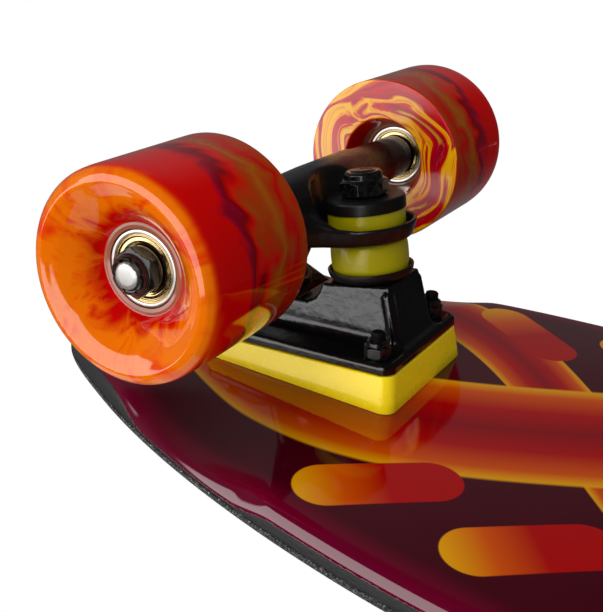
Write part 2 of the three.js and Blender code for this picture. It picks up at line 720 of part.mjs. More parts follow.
// The axle and its two wheels, each on two bearings that a nut clamps to the axle.
function addWheels(end, facing, bench) {
  const chamfer = 0.7;
  const axle = [[AXLE_HALF_LENGTH - chamfer, AXLE_RADIUS], [AXLE_HALF_LENGTH, AXLE_RADIUS - chamfer]];
  add(`${end}_axle`, axleBar(axle, 16), brightSteel, bench);
  const bearingAt = (BEARING_SPACING + BEARING_WIDTH) / 2;
  const nutAt = BEARING_MOUTH + SPEED_WASHER_THICKNESS + GAP;
  for (const [hand, side] of [["left", facing], ["right", -facing]]) {
    const corner = new THREE.Group();
    corner.position.set(AXLE_X, -side * WHEEL_CENTRE, AXLE_Z);
    corner.rotation.x = (side * Math.PI) / 2;
    bench.add(corner);
    const name = `${end}_${hand}`;
    add(`${name}_wheel`, wheel(), orangeUrethane, corner);
    add(`${name}_outboard_bearing`, outerRace(), brightSteel, corner).position.z = bearingAt;
    add(`${name}_inboard_bearing`, outerRace(), brightSteel, corner).position.z = -bearingAt;
    add(`${name}_bearing_sleeve`, bearingSleeve(), brightSteel, corner);
    const nut = lockNut(AXLE_NUT_FLATS, AXLE_NUT_HEIGHT, AXLE_RADIUS);
    add(`${name}_axle_nut`, nut, blackSteel, corner).position.z = nutAt;
  }
}

// Cutters carried from a truck's bench to the board.
const carried = (cutters, bench) =>
  cutters.map((cutter) => cutter.transform(bench.matrixWorld.elements));

let deck = solid(boardSheet(deckRings()));
let grip = solid(boardSheet(gripRings()));
const hangerSolid = hanger();
const baseplateSolid = baseplate();

for (const [end, atX, facing] of [["front", FRONT_X, 1], ["rear", REAR_X, -1]]) {
  const { heading, bench } = underBoard(atX, facing);
  skateboard.add(heading);
  addTruck(end, bench);
  addMountingHardware(end, bench);
  addWheels(end, facing, bench);

  const gripTop = DECK_THICKNESS + GRIP_THICKNESS;
  const axleX = atX + facing * (AXLE_X * Math.cos(WEDGE) + AXLE_Z * Math.sin(WEDGE));
  const wells = [wheelWell(axleX, 1), wheelWell(axleX, -1)];
  deck = cut(deck, ...wells, ...carried(boltHoles(gripTop, 0.4), bench));
  grip = cut(grip, ...carried(boltHoles(gripTop, 0.5), bench));

  const pad = riserPad().rotateZ(facing > 0 ? 0 : Math.PI).translate(atX, 0, 0);
  const straight = carried(boltHoles(DECK_THICKNESS + RISER_MID, 0.4), bench);
  add(`${end}_riser_pad`, geometryOf(cut(solid(pad), ...straight)), yellowPlastic);
}

add("deck", geometryOf(deck), maple);
add("grip_tape", geometryOf(grip), grit);

export default skateboard;
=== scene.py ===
import math

import bmesh
import bpy
import numpy as np
from mathutils import Matrix, Vector


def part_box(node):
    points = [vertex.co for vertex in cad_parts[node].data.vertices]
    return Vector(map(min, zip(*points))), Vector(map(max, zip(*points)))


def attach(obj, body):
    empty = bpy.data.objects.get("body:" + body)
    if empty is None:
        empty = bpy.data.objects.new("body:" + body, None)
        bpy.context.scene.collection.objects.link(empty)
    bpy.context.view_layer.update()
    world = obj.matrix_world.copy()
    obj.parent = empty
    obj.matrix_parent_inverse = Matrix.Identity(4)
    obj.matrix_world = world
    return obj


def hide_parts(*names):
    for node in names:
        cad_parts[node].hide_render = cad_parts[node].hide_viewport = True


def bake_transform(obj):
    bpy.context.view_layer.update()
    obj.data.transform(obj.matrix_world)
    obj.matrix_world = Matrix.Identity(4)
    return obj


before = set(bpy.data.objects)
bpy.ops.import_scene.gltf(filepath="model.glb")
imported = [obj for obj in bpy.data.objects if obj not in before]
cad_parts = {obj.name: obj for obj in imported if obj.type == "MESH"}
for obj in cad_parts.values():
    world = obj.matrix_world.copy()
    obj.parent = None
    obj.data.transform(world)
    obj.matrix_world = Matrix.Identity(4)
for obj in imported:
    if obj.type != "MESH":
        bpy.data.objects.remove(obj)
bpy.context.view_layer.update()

# The studio: a camera low beside the front truck, looking up at the underside. The board
# stands on its wheels here, so the picture is turned over to show it belly up.
HEADING = 61.6  # degrees from +X toward +Y
PITCH = 23.74
ROLL = math.radians(-4.95)
CAMERA_PLACE = (0.0994, -0.2957, -0.0766)
VIEW_HEIGHT_PX = 612
FOCAL_PX = 1052.97
SENSOR_MM = 36
NEAREST_SEEN = 0.01


def pointing(heading, height):
    """The direction at a heading and a height above the level, both in degrees."""
    heading, height = math.radians(heading), math.radians(height)
    return Vector((
        math.cos(height) * math.cos(heading), math.cos(height) * math.sin(heading),
        math.sin(height)))


forward = pointing(HEADING, PITCH)
level = forward.cross(Vector((0, 0, -1))).normalized()
fall = forward.cross(level)
picture_right = level * math.cos(ROLL) + fall * math.sin(ROLL)
picture_down = fall * math.cos(ROLL) - level * math.sin(ROLL)

lens = bpy.data.cameras.new("camera")
lens.sensor_width = SENSOR_MM
lens.lens = FOCAL_PX / VIEW_HEIGHT_PX * SENSOR_MM
lens.clip_start = NEAREST_SEEN
camera = bpy.data.objects.new("camera", lens)
bpy.context.scene.collection.objects.link(camera)
stand = Matrix((picture_right, -picture_down, -forward)).transposed().to_4x4()
stand.translation = Vector(CAMERA_PLACE)
camera.matrix_world = stand
bpy.context.scene.camera = camera
bpy.context.scene.view_settings.view_transform = "Standard"


def node(tree, kind, **settings):
    """Adds a shader node. Settings are its properties."""
    made = tree.nodes.new(kind)
    for name, value in settings.items():
        setattr(made, name, value)
    return made


class Reading:
    """A number that a shader works out at each point, to reckon with like any other."""

    def __init__(self, output):
        self.output = output
        self.tree = output.id_data

    def step(self, operation, *others):
        """One step of arithmetic that starts from this reading."""
        made = node(self.tree, "ShaderNodeMath", operation=operation)
        for socket, value in zip(made.inputs, (self, *others)):
            feed(socket, value)
        return Reading(made.outputs[0])

    def __add__(self, other):
        return self.step("ADD", other)

    def __sub__(self, other):
        return self.step("SUBTRACT", other)

    def __mul__(self, other):
        return self.step("MULTIPLY", other)

    def __truediv__(self, other):
        return self.step("DIVIDE", other)

    def __abs__(self):
        return self.step("ABSOLUTE")


def feed(socket, value):
    """Links a reading or an output to a socket, or sets a plain value on it."""
    if isinstance(value, Reading):
        value = value.output
    if isinstance(value, bpy.types.NodeSocket):
        socket.id_data.links.new(value, socket)
    else:
        socket.default_value = value


def between(share, low, high):
    """Low at share 0, high at share 1."""
    return share * (high - low) + low


def other_part(share):
    """What a share leaves of 1."""
    return between(share, 1, 0)


def smooth_step(value, low, high):
    """0 at low, 1 at high, and a soft turn between."""
    step = node(value.tree, "ShaderNodeMapRange", interpolation_type="SMOOTHSTEP")
    for socket, number in zip(step.inputs, (value, low, high)):
        feed(socket, number)
    return Reading(step.outputs[0])


# The room as glossy surfaces see it is dim, a little lighter behind the board, with a large
# softbox beside the camera and a pale glow overhead. The eye, and what glass lets through,
# see plain white.
SWEEP_DIRECTION = (0.8, 0.5, 0.2)
SWEEP_EDGE = (0.2, 0.62)
SWEEP_LIGHT = 0.13
DIM_ROOM = 0.02
SOFT_LIGHT = 0.42
SOFTBOX_EDGE = 0.035
LEAST_AHEAD = 0.01
MIRRORED_SOFTBOXES = (  # heading, height, half width and half height in degrees, brightness
    (-69, -7, 39, 28, 3.3),
    (-8, 56, 14, 8, 0.8),
    (0, 90, 30, 20, 0.5),
)

world = bpy.data.worlds.new("studio")
bpy.context.scene.world = world
world.use_nodes = True
tree = world.node_tree
tree.nodes.clear()
direction = node(tree, "ShaderNodeTexCoord").outputs["Generated"]


def toward(vector):
    """How far a ray's direction points along a vector."""
    along = node(tree, "ShaderNodeVectorMath", operation="DOT_PRODUCT")
    feed(along.inputs[0], direction)
    feed(along.inputs[1], vector)
    return Reading(along.outputs["Value"])


def mirrored_softbox(heading, height, half_wide, half_high):
    """1 where a ray meets a flat softbox that faces the board."""
    middle = pointing(heading, height)
    across = pointing(heading + 90, 0)
    ahead = toward(middle).step("MAXIMUM", LEAST_AHEAD)

    def within(axis, half):
        """1 less than half an angle from the middle, along an axis."""
        reach = math.tan(math.radians(half))
        off = abs(toward(axis) / ahead)
        return smooth_step(off, reach + SOFTBOX_EDGE, reach - SOFTBOX_EDGE)

    return within(across, half_wide) * within(middle.cross(across), half_high)


sweep = smooth_step(toward(SWEEP_DIRECTION), *SWEEP_EDGE)
mirrored = between(sweep, DIM_ROOM, SWEEP_LIGHT)
for *shape, brightness in MIRRORED_SOFTBOXES:
    mirrored = mirrored_softbox(*shape) * brightness + mirrored
rays = node(tree, "ShaderNodeLightPath").outputs
seen = Reading(rays["Is Camera Ray"]).step("MAXIMUM", rays["Is Transmission Ray"])
glossy = Reading(rays["Is Glossy Ray"])
room_light = glossy * mirrored + other_part(glossy) * SOFT_LIGHT
background = node(tree, "ShaderNodeBackground")
feed(background.inputs["Color"], (1, 1, 1, 1))
feed(background.inputs["Strength"], seen + other_part(seen) * room_light)
feed(node(tree, "ShaderNodeOutputWorld").inputs[0], background.outputs[0])


def softbox(name, place, target, width, height, power):
    """A rectangular diffused lamp that faces its target. Gloss sees the room's own shapes."""
    lamp = bpy.data.lights.new(name, "AREA")
    lamp.shape = "RECTANGLE"
    lamp.size = width
    lamp.size_y = height
    lamp.energy = power
    box = bpy.data.objects.new(name, lamp)
    box.location = place
    box.rotation_euler = (Vector(target) - Vector(place)).to_track_quat("-Z", "Y").to_euler()
    box.visible_glossy = False
    bpy.context.scene.collection.objects.link(box)


FRONT_TRUCK = (0.25, 0, 0.05)
softbox("key_softbox", (0.85, 0.35, 1.03), FRONT_TRUCK, width=0.8, height=0.7, power=7)
softbox("flank_softbox", (0.71, -1.05, 0.45), FRONT_TRUCK, width=0.5, height=0.5, power=4)
softbox("belly_fill", (0.35, -0.7, -0.85), (0.15, 0, 0.08), width=0.6, height=0.5, power=6)
softbox("camera_fill", (0.35, -1.3, -0.1), FRONT_TRUCK, width=0.9, height=0.9, power=8)
softbox("overhead_softbox", (-0.2, -0.3, 1.5), (0, 0, 0.08), width=1.4, height=1.0, power=9)

# The floor is a pale matt sheet under the wheels that fades into the backdrop. Only its upper
# face is there, so the camera looks up through it and the lamps below it reach the board.
FLOOR_RADIUS = 4
FLOOR_SIDES = 96
FLOOR_COLOR = (0.8, 0.8, 0.8, 1)
FLOOR_FADE = (0.45, 1.15)
floor_mesh = bpy.data.meshes.new("studio_floor")
ring = [2 * math.pi * i / FLOOR_SIDES for i in range(FLOOR_SIDES)]
floor_mesh.from_pydata(
    [(FLOOR_RADIUS * math.cos(a), FLOOR_RADIUS * math.sin(a), 0) for a in ring], [],
    [tuple(range(FLOOR_SIDES))],
)
floor = bpy.data.objects.new("studio_floor", floor_mesh)
bpy.context.scene.collection.objects.link(floor)
matt = bpy.data.materials.new("pale_floor")
matt.use_nodes = True
tree = matt.node_tree
tree.nodes.clear()
chalk = node(tree, "ShaderNodeBsdfDiffuse")
feed(chalk.inputs["Color"], FLOOR_COLOR)
out = node(tree, "ShaderNodeVectorMath", operation="LENGTH")
feed(out.inputs[0], node(tree, "ShaderNodeTexCoord").outputs["Object"])
faded = smooth_step(Reading(out.outputs["Value"]), *FLOOR_FADE)
below = node(tree, "ShaderNodeNewGeometry").outputs["Backfacing"]
upper_or_lower = node(tree, "ShaderNodeMixShader")
feed(upper_or_lower.inputs[0], faded.step("MAXIMUM", below))
feed(upper_or_lower.inputs[1], chalk.outputs[0])
feed(upper_or_lower.inputs[2], node(tree, "ShaderNodeBsdfTransparent").outputs[0])
feed(node(tree, "ShaderNodeOutputMaterial").inputs[0], upper_or_lower.outputs[0])
floor_mesh.materials.append(matt)
floor.visible_diffuse = False
floor.visible_glossy = False
floor.visible_transmission = False
floor.visible_shadow = False

# The deck is pressed from seven maple plies: kicked at both ends, its rails raised, with a
# scoop over each wheel. The underside is printed and lacquered, the edge is stained black.
MM = 0.001
BOARD_LENGTH = 700
HALF_BOARD = 100
NOSE_REACH = 104  # from the front truck's centre to the nose tip
WHEELBASE = 416  # between the trucks' centres
WIDEST_FROM_NOSE = 214
NOSE_SHAPE = (1.65, 1.95)  # bluntness and fullness of the outline
TAIL_SHAPE = (4.4, 2.3)
DECK_THICKNESS = 10.5
CONCAVE_RISE = 3
CONCAVE_FLAT = 34
KICK_RADIUS = 150
NOSE_KICK = (50, math.radians(13))  # start past the truck's centre, and slope
TAIL_KICK = (52, math.radians(19))
TOP_RADIUS = 2
BOTTOM_RADIUS = 4.6
WELL_DEPTH = 5
WELL_REACH = 22
WELL_HALF_LENGTH = 36
WELL_SOFTNESS = 0.7
LEAST_LIFT = 0.02
SIDE_BAND = 0.9  # least height of plain side between the two rounded edges
PAINT_LAP = 0.7  # how far up the side a ring marks the end of the print
LAP_TURN = 0.3  # what that ring counts as, in radians before the rounded edge
BARE_TURN = 0.12  # how far round the edge the stain goes, in radians, and more at the nose
NOSE_BARE_TURN = 0.75
NOSE_BARE_FROM = (14, 34)  # past the axle
SPINE_END = 60
PIECE_GAP = 0.3

front_x = BOARD_LENGTH / 2 - NOSE_REACH
rear_x = front_x - WHEELBASE
widest_x = BOARD_LENGTH / 2 - WIDEST_FROM_NOSE
axle_low, axle_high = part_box("front_axle")
front_axle_x = (axle_low.x + axle_high.x) / 2 / MM
rear_axle_x = front_x + rear_x - front_axle_x
deck_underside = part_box("front_riser_pad")[1].z / MM + PIECE_GAP


def half_width(x):
    """Half the board's width at x, in millimetres."""
    ahead = x > widest_x
    reach = np.where(ahead, WIDEST_FROM_NOSE, BOARD_LENGTH - WIDEST_FROM_NOSE)
    bluntness = np.where(ahead, NOSE_SHAPE[0], TAIL_SHAPE[0])
    fullness = np.where(ahead, NOSE_SHAPE[1], TAIL_SHAPE[1])
    share = np.clip(np.abs(x - widest_x) / reach, 0, 1)
    return HALF_BOARD * (1 - share**bluntness) ** (1 / fullness)


def kick_rise(past, slope):
    """How far a kick has risen: an arc, then a straight ramp."""
    arc = KICK_RADIUS * math.sin(slope)
    on_arc = np.clip(past, 0, arc)
    ramp_rise = np.maximum(past - arc, 0) * math.tan(slope)
    return KICK_RADIUS - np.sqrt(KICK_RADIUS**2 - on_arc**2) + ramp_rise


def pressed_height(x, y):
    """Height of the pressed board's underside before the wells are cut."""
    side = np.maximum(0, np.abs(y) - CONCAVE_FLAT) / (HALF_BOARD - CONCAVE_FLAT)
    nose = kick_rise(x - front_x - NOSE_KICK[0], NOSE_KICK[1])
    tail = kick_rise(rear_x - TAIL_KICK[0] - x, TAIL_KICK[1])
    return deck_underside + CONCAVE_RISE * side**2 + nose + tail


def well_lift(x, y):
    """How deep the wheel wells cut at a point of the underside."""
    lift = 0
    for axle_x in (front_axle_x, rear_axle_x):
        rail = half_width(axle_x)
        scoop = WELL_DEPTH * (1 - ((x - axle_x) / WELL_HALF_LENGTH) ** 2)
        scoop = scoop - (rail - np.abs(y)) * WELL_DEPTH / WELL_REACH
        scoop = scoop + pressed_height(axle_x, rail) - pressed_height(x, y)
        lift = lift + (scoop + np.sqrt(scoop**2 + WELL_SOFTNESS**2)) / 2
    return np.where(lift < LEAST_LIFT, 0, lift)


def board_edge(stations):
    """Points of the outline, nose tip first, and the inward normal at each."""
    turn = np.linspace(0, np.pi, stations // 2 + 1)
    reach = np.where(turn < np.pi / 2, WIDEST_FROM_NOSE, BOARD_LENGTH - WIDEST_FROM_NOSE)
    x = widest_x + reach * np.cos(turn)
    y = half_width(x)
    x = np.concatenate([x, x[-2:0:-1]])
    y = np.concatenate([y, -y[-2:0:-1]])
    run_x = np.roll(x, -1) - np.roll(x, 1)
    run_y = np.roll(y, -1) - np.roll(y, 1)
    length = np.hypot(run_x, run_y)
    return x, y, -run_y / length, run_x / length


EDGE_STATIONS = 720
FACE_RINGS = 40
RING_CROWDING = 1.6  # how much closer a face's rings lie near the edge
EDGE_STEPS = 7
edge_x, edge_y, inward_x, inward_y = board_edge(EDGE_STATIONS)
shares = 1 - np.linspace(0, 1, FACE_RINGS) ** RING_CROWDING


def board_ring(inset, level, share=1, scooped=False):
    """A ring inset from the outline and drawn in to the middle line by its share, at a level
    above the pressed underside. A scooped ring follows the wheel wells too."""
    x = edge_x + inset * inward_x
    y = edge_y + inset * inward_y
    spine = np.clip(x, SPINE_END - BOARD_LENGTH / 2, BOARD_LENGTH / 2 - SPINE_END)
    x = spine + (x - spine) * share
    y = y * share
    lift = well_lift(x, y) if scooped else 0
    return np.stack([x, y, pressed_height(x, y) + lift + level], -1)


def mesh_of(name, points, faces):
    """A mesh from arrays of points and of quads."""
    mesh = bpy.data.meshes.new(name)
    mesh.vertices.add(len(points))
    mesh.vertices.foreach_set("co", np.asarray(points, np.float32).reshape(-1))
    mesh.loops.add(faces.size)
    mesh.loops.foreach_set("vertex_index", faces.reshape(-1).astype(np.int32))
    mesh.polygons.add(len(faces))
    mesh.polygons.foreach_set("loop_start", np.arange(0, faces.size, 4, dtype=np.int32))
    mesh.update(calc_edges=True)
    return mesh


def ringed_mesh(name, rings):
    """A mesh from rings of points, each as long as the next, joined in order by quads."""
    rings = np.asarray(rings, float) * MM
    count, around = rings.shape[:2]
    i, j = np.meshgrid(np.arange(count - 1), np.arange(around), indexing="ij")
    a = i * around + j
    b = i * around + (j + 1) % around
    faces = np.stack([a, a + around, b + around, b], -1).reshape(-1, 4)
    return mesh_of(name, rings.reshape(-1, 3), faces)


def outward(mesh):
    """Turns every face of a closed mesh outward and closes the points where it ends."""
    body = bmesh.new()
    body.from_mesh(mesh)
    bmesh.ops.remove_doubles(body, verts=body.verts, dist=1e-7)
    bmesh.ops.recalc_face_normals(body, faces=body.faces)
    body.to_mesh(mesh)
    body.free()
    return mesh


def mark(mesh, name, values):
    """Writes a number at each point of a mesh, for its material to read."""
    values = np.asarray(values, np.float32).reshape(-1)
    mesh.attributes.new(name, "FLOAT", "POINT").data.foreach_set("value", values)


def marked(place, name):
    """Reads that number in a material."""
    return Reading(node(place.id_data, "ShaderNodeAttribute", attribute_name=name).outputs["Fac"])


def seat(name, mesh, material, body, replaced, matrix=None, sharp=None):
    """Makes a piece of a mesh, shades it smooth up to its sharp edges, paints and mounts it."""
    mesh.materials.clear()
    mesh.materials.append(material)
    mesh.shade_smooth()
    if sharp is not None:
        mesh.set_sharp_from_angle(angle=math.radians(sharp))
    piece = bpy.data.objects.new(name, mesh)
    bpy.context.scene.collection.objects.link(piece)
    if matrix is not None:
        piece.matrix_world = matrix
    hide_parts(replaced)
    if body:
        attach(piece, body)
    return piece


def surface(name, color, roughness, **sockets):
    """A material with one Principled shader. Returns it, the shader and the point on the piece."""
    material = bpy.data.materials.new(name)
    material.use_nodes = True
    shader = material.node_tree.nodes["Principled BSDF"]
    feed(shader.inputs["Base Color"], color)
    feed(shader.inputs["Roughness"], roughness)
    for socket, value in sockets.items():
        feed(shader.inputs[socket.replace("_", " ")], value)
    return material, shader, node(material.node_tree, "ShaderNodeTexCoord").outputs["Object"]


def paint(red, green, blue):
    """A colour as a swatch shows it, 0 to 255, made linear for the shader."""
    return tuple((part / 255) ** 2.2 for part in (red, green, blue)) + (1,)


def coordinates(place):
    """A point's x, y and z in metres."""
    apart = node(place.id_data, "ShaderNodeSeparateXYZ")
    feed(apart.inputs[0], place)
    return [Reading(output) for output in apart.outputs]


def noise(place, scale, detail, warp):
    """Soft noise from 0 to 1 at a point."""
    made = node(place.id_data, "ShaderNodeTexNoise")
    for name, value in (
        ("Vector", place), ("Scale", scale), ("Detail", detail), ("Distortion", warp),
    ):
        feed(made.inputs[name], value)
    return Reading(made.outputs["Fac"])


def speckle(place, size_mm, detail, stretch=(1, 1, 1), warp=0.0):
    """Noise whose blotches are about size_mm across."""
    scaled = node(place.id_data, "ShaderNodeMapping")
    feed(scaled.inputs["Vector"], place)
    feed(scaled.inputs["Scale"], stretch)
    return noise(scaled.outputs[0], 1000 / size_mm, detail, warp)


def relief(shader, height, depth_mm):
    """Gives a surface fine relief, depth_mm deep where the height goes from 0 to 1."""
    bump = node(height.tree, "ShaderNodeBump")
    feed(bump.inputs["Distance"], depth_mm * MM)
    feed(bump.inputs["Height"], height)
    feed(shader.inputs["Normal"], bump.outputs[0])


def mixed(share, first, second):
    """The first colour at share 0, the second at share 1."""
    mix = node(share.tree, "ShaderNodeMix", data_type="RGBA")
    for index, value in ((0, share), (6, first), (7, second)):
        feed(mix.inputs[index], value)
    return mix.outputs[2]


def ramp(value, *stops):
    """A colour ramp from (position, colour) stops in rising order."""
    made = node(value.tree, "ShaderNodeValToRGB")
    elements = made.color_ramp.elements
    for i, (position, color) in enumerate(stops):
        element = elements[i] if i < 2 else elements.new(position)
        element.position = position
        element.color = color
    feed(made.inputs[0], value)
    return made.outputs[0]


room = DECK_THICKNESS - TOP_RADIUS - SIDE_BAND - well_lift(edge_x, edge_y)
bottom_radius = np.minimum(BOTTOM_RADIUS, room)
past_axle = (edge_x - front_axle_x - NOSE_BARE_FROM[0]) / (NOSE_BARE_FROM[1] - NOSE_BARE_FROM[0])
bare_turn = BARE_TURN + (NOSE_BARE_TURN - BARE_TURN) * np.clip(past_axle, 0, 1)
stained = np.full(EDGE_STATIONS, -1.0)
in_print = np.full(EDGE_STATIONS, math.pi / 2)

# How far each ring is turned into the print goes beside it, negative on the stained side.
deck_rings = [(board_ring(TOP_RADIUS, DECK_THICKNESS, share), stained) for share in shares[::-1]]
for bend in np.linspace(math.pi / 2, 0, EDGE_STEPS)[1:]:
    level = DECK_THICKNESS - TOP_RADIUS * (1 - math.sin(bend))
    deck_rings.append((board_ring(TOP_RADIUS * (1 - math.cos(bend)), level), stained))
deck_rings.append((board_ring(0, bottom_radius + PAINT_LAP, scooped=True), -LAP_TURN - bare_turn))
for bend in np.linspace(0, math.pi / 2, 2 * EDGE_STEPS):
    inset = bottom_radius * (1 - math.cos(bend))
    rise = bottom_radius * (1 - math.sin(bend))
    deck_rings.append((board_ring(inset, rise, scooped=True), bend - bare_turn))
for share in shares[1:]:
    deck_rings.append((board_ring(bottom_radius, 0, share, scooped=True), in_print))
deck_points, printed = (np.array(part) for part in zip(*deck_rings))
deck_mesh = ringed_mesh("deck_board", deck_points)
along = np.clip(deck_points[..., 0], -BOARD_LENGTH / 2, BOARD_LENGTH / 2)
mark(deck_mesh, "printed", printed)
mark(deck_mesh, "rail", half_width(along) - np.abs(deck_points[..., 1]))

# The print: ribbons that swing along the board and rows of slanted bars, yellow at the rim
# and red inside, on maroon. A lighter crimson band along the rail is painted sheen of its curve.
MAROON = paint(60, 0, 20)
MAROON_MOTTLE = paint(66, 2, 24)
MOTTLE_MM = 22
# Painted sheen: a lighter crimson for the band along the rail, where its curve catches light.
RAIL_SHEEN_CRIMSON = paint(92, 0, 34)
YELLOW = paint(212, 146, 6)
ORANGE = paint(192, 76, 6)
RED = paint(158, 8, 10)
DEEP_RED = paint(126, 0, 20)
# Painted sheen: a lighter maroon for the rounded lower edge, where it catches light.
EDGE_SHEEN_RUBINE = paint(86, 0, 36)
STAIN = paint(15, 15, 16)
PRINT_EDGE = 0.03  # softness of a printed outline, as a share of the shape
# Where the painted sheen along the rail ends and where it is full.
RAIL_SHEEN_BAND = (12, 4)  # from the rail, in millimetres
RIBBON_WAVE = 330
RIBBON_PHASE = 0.2
RIBBON_NARROW = 8
RIBBONS = ((-62, 21), (30, 34))  # swing and half width
BAR_HALF_LENGTH = 15
BAR_RADIUS = 9.5
BAR_SLANT = math.radians(38)
BAR_PLACES = ((306, 34), (196, 63), (150, 66), (48, 34), (14, 64), (-30, 66), (-130, 63),
              (-252, 58), (-292, 30))
RAGGED = 0.3  # how far the stain wanders, in radians round the edge
# How far round the edge the painted sheen reaches, and where it is full.
EDGE_SHEEN_BAND = (1.6, 0.9)
PRINT_START = (0, 0.06)
LACQUER_GLOSS = 0.06
STAIN_ROUGHNESS = 0.56


def ribbon(x, y, swing, wide):
    """How far across a swinging ribbon a point lies: 0 on its middle line, 1 at its rim."""
    turn = x * (2 * math.pi / (RIBBON_WAVE * MM)) + RIBBON_PHASE
    swell = abs((turn * 0.5).step("SINE"))
    half = swell * ((wide - RIBBON_NARROW) * MM) + RIBBON_NARROW * MM
    return (y - turn.step("SINE") * (swing * MM)) / half


def bar(x, y, at_x, at_y, slant):
    """Across and along a slanted bar with round ends: 0 in its middle, 1 at its rim."""
    dx, dy = x - at_x * MM, y - at_y * MM
    run = dx * math.cos(slant) + dy * math.sin(slant)
    off = dy * math.cos(slant) - dx * math.sin(slant)
    past = (abs(run) - BAR_HALF_LENGTH * MM).step("MAXIMUM", 0)
    across = (off * off + past * past).step("SQRT") / (BAR_RADIUS * MM)
    return across, run / ((BAR_HALF_LENGTH + BAR_RADIUS) * MM)


def inside(across):
    """1 within a printed shape's rim, 0 outside."""
    return smooth_step(abs(across), 1 + PRINT_EDGE, 1 - PRINT_EDGE)


deck_paint, shader, place = surface("printed_maple", MAROON, LACQUER_GLOSS, IOR=1.6)
x, y, z = coordinates(place)
color = mixed(speckle(place, size_mm=MOTTLE_MM, detail=1), MAROON, MAROON_MOTTLE)
# A painted sheen: the underside turns lighter crimson near the rail.
color = mixed(smooth_step(marked(place, "rail"), *RAIL_SHEEN_BAND), color, RAIL_SHEEN_CRIMSON)
for swing, wide in RIBBONS:
    across = ribbon(x, y, swing, wide)
    wash = ramp(abs(across), (0, DEEP_RED), (0.42, RED), (0.80, ORANGE), (0.98, YELLOW))
    color = mixed(inside(across), color, wash)
for at_x, at_y in BAR_PLACES:
    for side in (1, -1):
        across, run = bar(x, y, at_x, side * at_y, side * BAR_SLANT)
        wash = ramp(run * 0.5 + 0.5, (0.08, RED), (0.45, RED), (0.72, ORANGE), (0.98, YELLOW))
        color = mixed(inside(across), color, wash)

ragged = speckle(place, size_mm=1.5, detail=3) * RAGGED + marked(place, "printed")
# The rounded lower edge turns lighter maroon: a painted sheen.
color = mixed(smooth_step(ragged, *EDGE_SHEEN_BAND), color, EDGE_SHEEN_RUBINE)
painted = smooth_step(ragged, *PRINT_START)
feed(shader.inputs["Base Color"], mixed(painted, STAIN, color))
feed(shader.inputs["Roughness"], between(painted, STAIN_ROUGHNESS, LACQUER_GLOSS))
grain = speckle(place, size_mm=0.9, detail=4, stretch=(0.15, 1, 1))
relief(shader, grain * other_part(painted), depth_mm=0.12)
seat("deck_board", outward(deck_mesh), deck_paint, "board", "deck")

# The grip is a sheet of black grit with a gummed back. It is rolled down over the riding
# side and the top edge, and trimmed with a knife all round.
GRIP_THICKNESS = 0.9
GRIP_OUTSET = 0.45
GRIP_FALL = 8.2  # where its cut edge ends, above the underside
GRIP_TUCK = 1.2
CUT_SLANT = 0.1
EDGE_DROP = 0.12
TUCK_RISE = 0.3
GRIT_BLACK = paint(12, 12, 13)
GRIT_GREY = paint(52, 52, 53)
GRIT_PALE = paint(96, 96, 97)
GRIT_SPARK = paint(150, 150, 150)
SPARKING = (0.62, 0.74)

grip_rings = [
    board_ring(TOP_RADIUS, DECK_THICKNESS + GRIP_THICKNESS, share) for share in shares[::-1]]
for bend in np.linspace(math.pi / 2, 0, EDGE_STEPS)[1:]:
    inset = TOP_RADIUS - (TOP_RADIUS + GRIP_OUTSET) * math.cos(bend)
    rise = (TOP_RADIUS + GRIP_THICKNESS) * math.sin(bend)
    grip_rings.append(board_ring(inset, DECK_THICKNESS - TOP_RADIUS + rise))
for inset, rise in (
    (-GRIP_OUTSET, GRIP_FALL + EDGE_DROP), (CUT_SLANT - GRIP_OUTSET, GRIP_FALL), (0, GRIP_FALL),
    (GRIP_TUCK, GRIP_FALL + TUCK_RISE), (GRIP_TUCK, DECK_THICKNESS - TOP_RADIUS),
):
    grip_rings.append(board_ring(inset, rise))
for share in shares[1:]:
    grip_rings.append(board_ring(2 * TOP_RADIUS, DECK_THICKNESS - PIECE_GAP, share))

grit, shader, place = surface("grit_sheet", GRIT_BLACK, roughness=0.8)
grains = speckle(place, size_mm=0.7, detail=3)
sparks = smooth_step(speckle(place, size_mm=0.55, detail=1), *SPARKING)
color = ramp(grains, (0.36, GRIT_BLACK), (0.56, GRIT_GREY), (0.68, GRIT_PALE))
feed(shader.inputs["Base Color"], mixed(sparks, color, GRIT_SPARK))
relief(shader, grains, depth_mm=0.5)
grip_mesh = outward(ringed_mesh("grip_sheet", grip_rings))
seat("grip_sheet", grip_mesh, grit, "board", "grip_tape", sharp=50)

# The risers are moulded wedges of yellow urethane, higher at the kingpin end. Their walls
# have draft and they sit between the deck and the baseplate, held by the same bolts.
RISER_INNER = 12.24
RISER_OUTER = 6.56
RISER_HALF_LENGTH = 37
RISER_HALF_WIDTH = 29.4
RISER_DRAFT = 2.2
RISER_CORNER = 4.5
RISER_EDGE = 0.7
CORNER_STEPS = 8
EDGE_BENDS = 5
WALL_LEVELS = (0.35, 0.7, 0.97)
TOP_EASING = ((0.12, 0.99), (0.3, 1))  # inset and level

riser_mid = (RISER_INNER + RISER_OUTER) / 2
wedge = math.atan((RISER_INNER - RISER_OUTER) / (2 * RISER_HALF_LENGTH))


def moved(x, y, z):
    """A shift in millimetres."""
    return Matrix.Translation(Vector((x, y, z)) * MM)


riser_places = {
    "front": moved(front_x, 0, deck_underside - riser_mid),
    "rear": moved(rear_x, 0, deck_underside - riser_mid) @ Matrix.Rotation(math.pi, 4, "Z"),
}
# Truck parts are made on a bench, baseplate down, and turned over onto the wedge.
ENDS = [
    (end, at @ Matrix.Rotation(-wedge, 4, "Y") @ Matrix.Rotation(math.pi, 4, "X"))
    for end, at in riser_places.items()
]


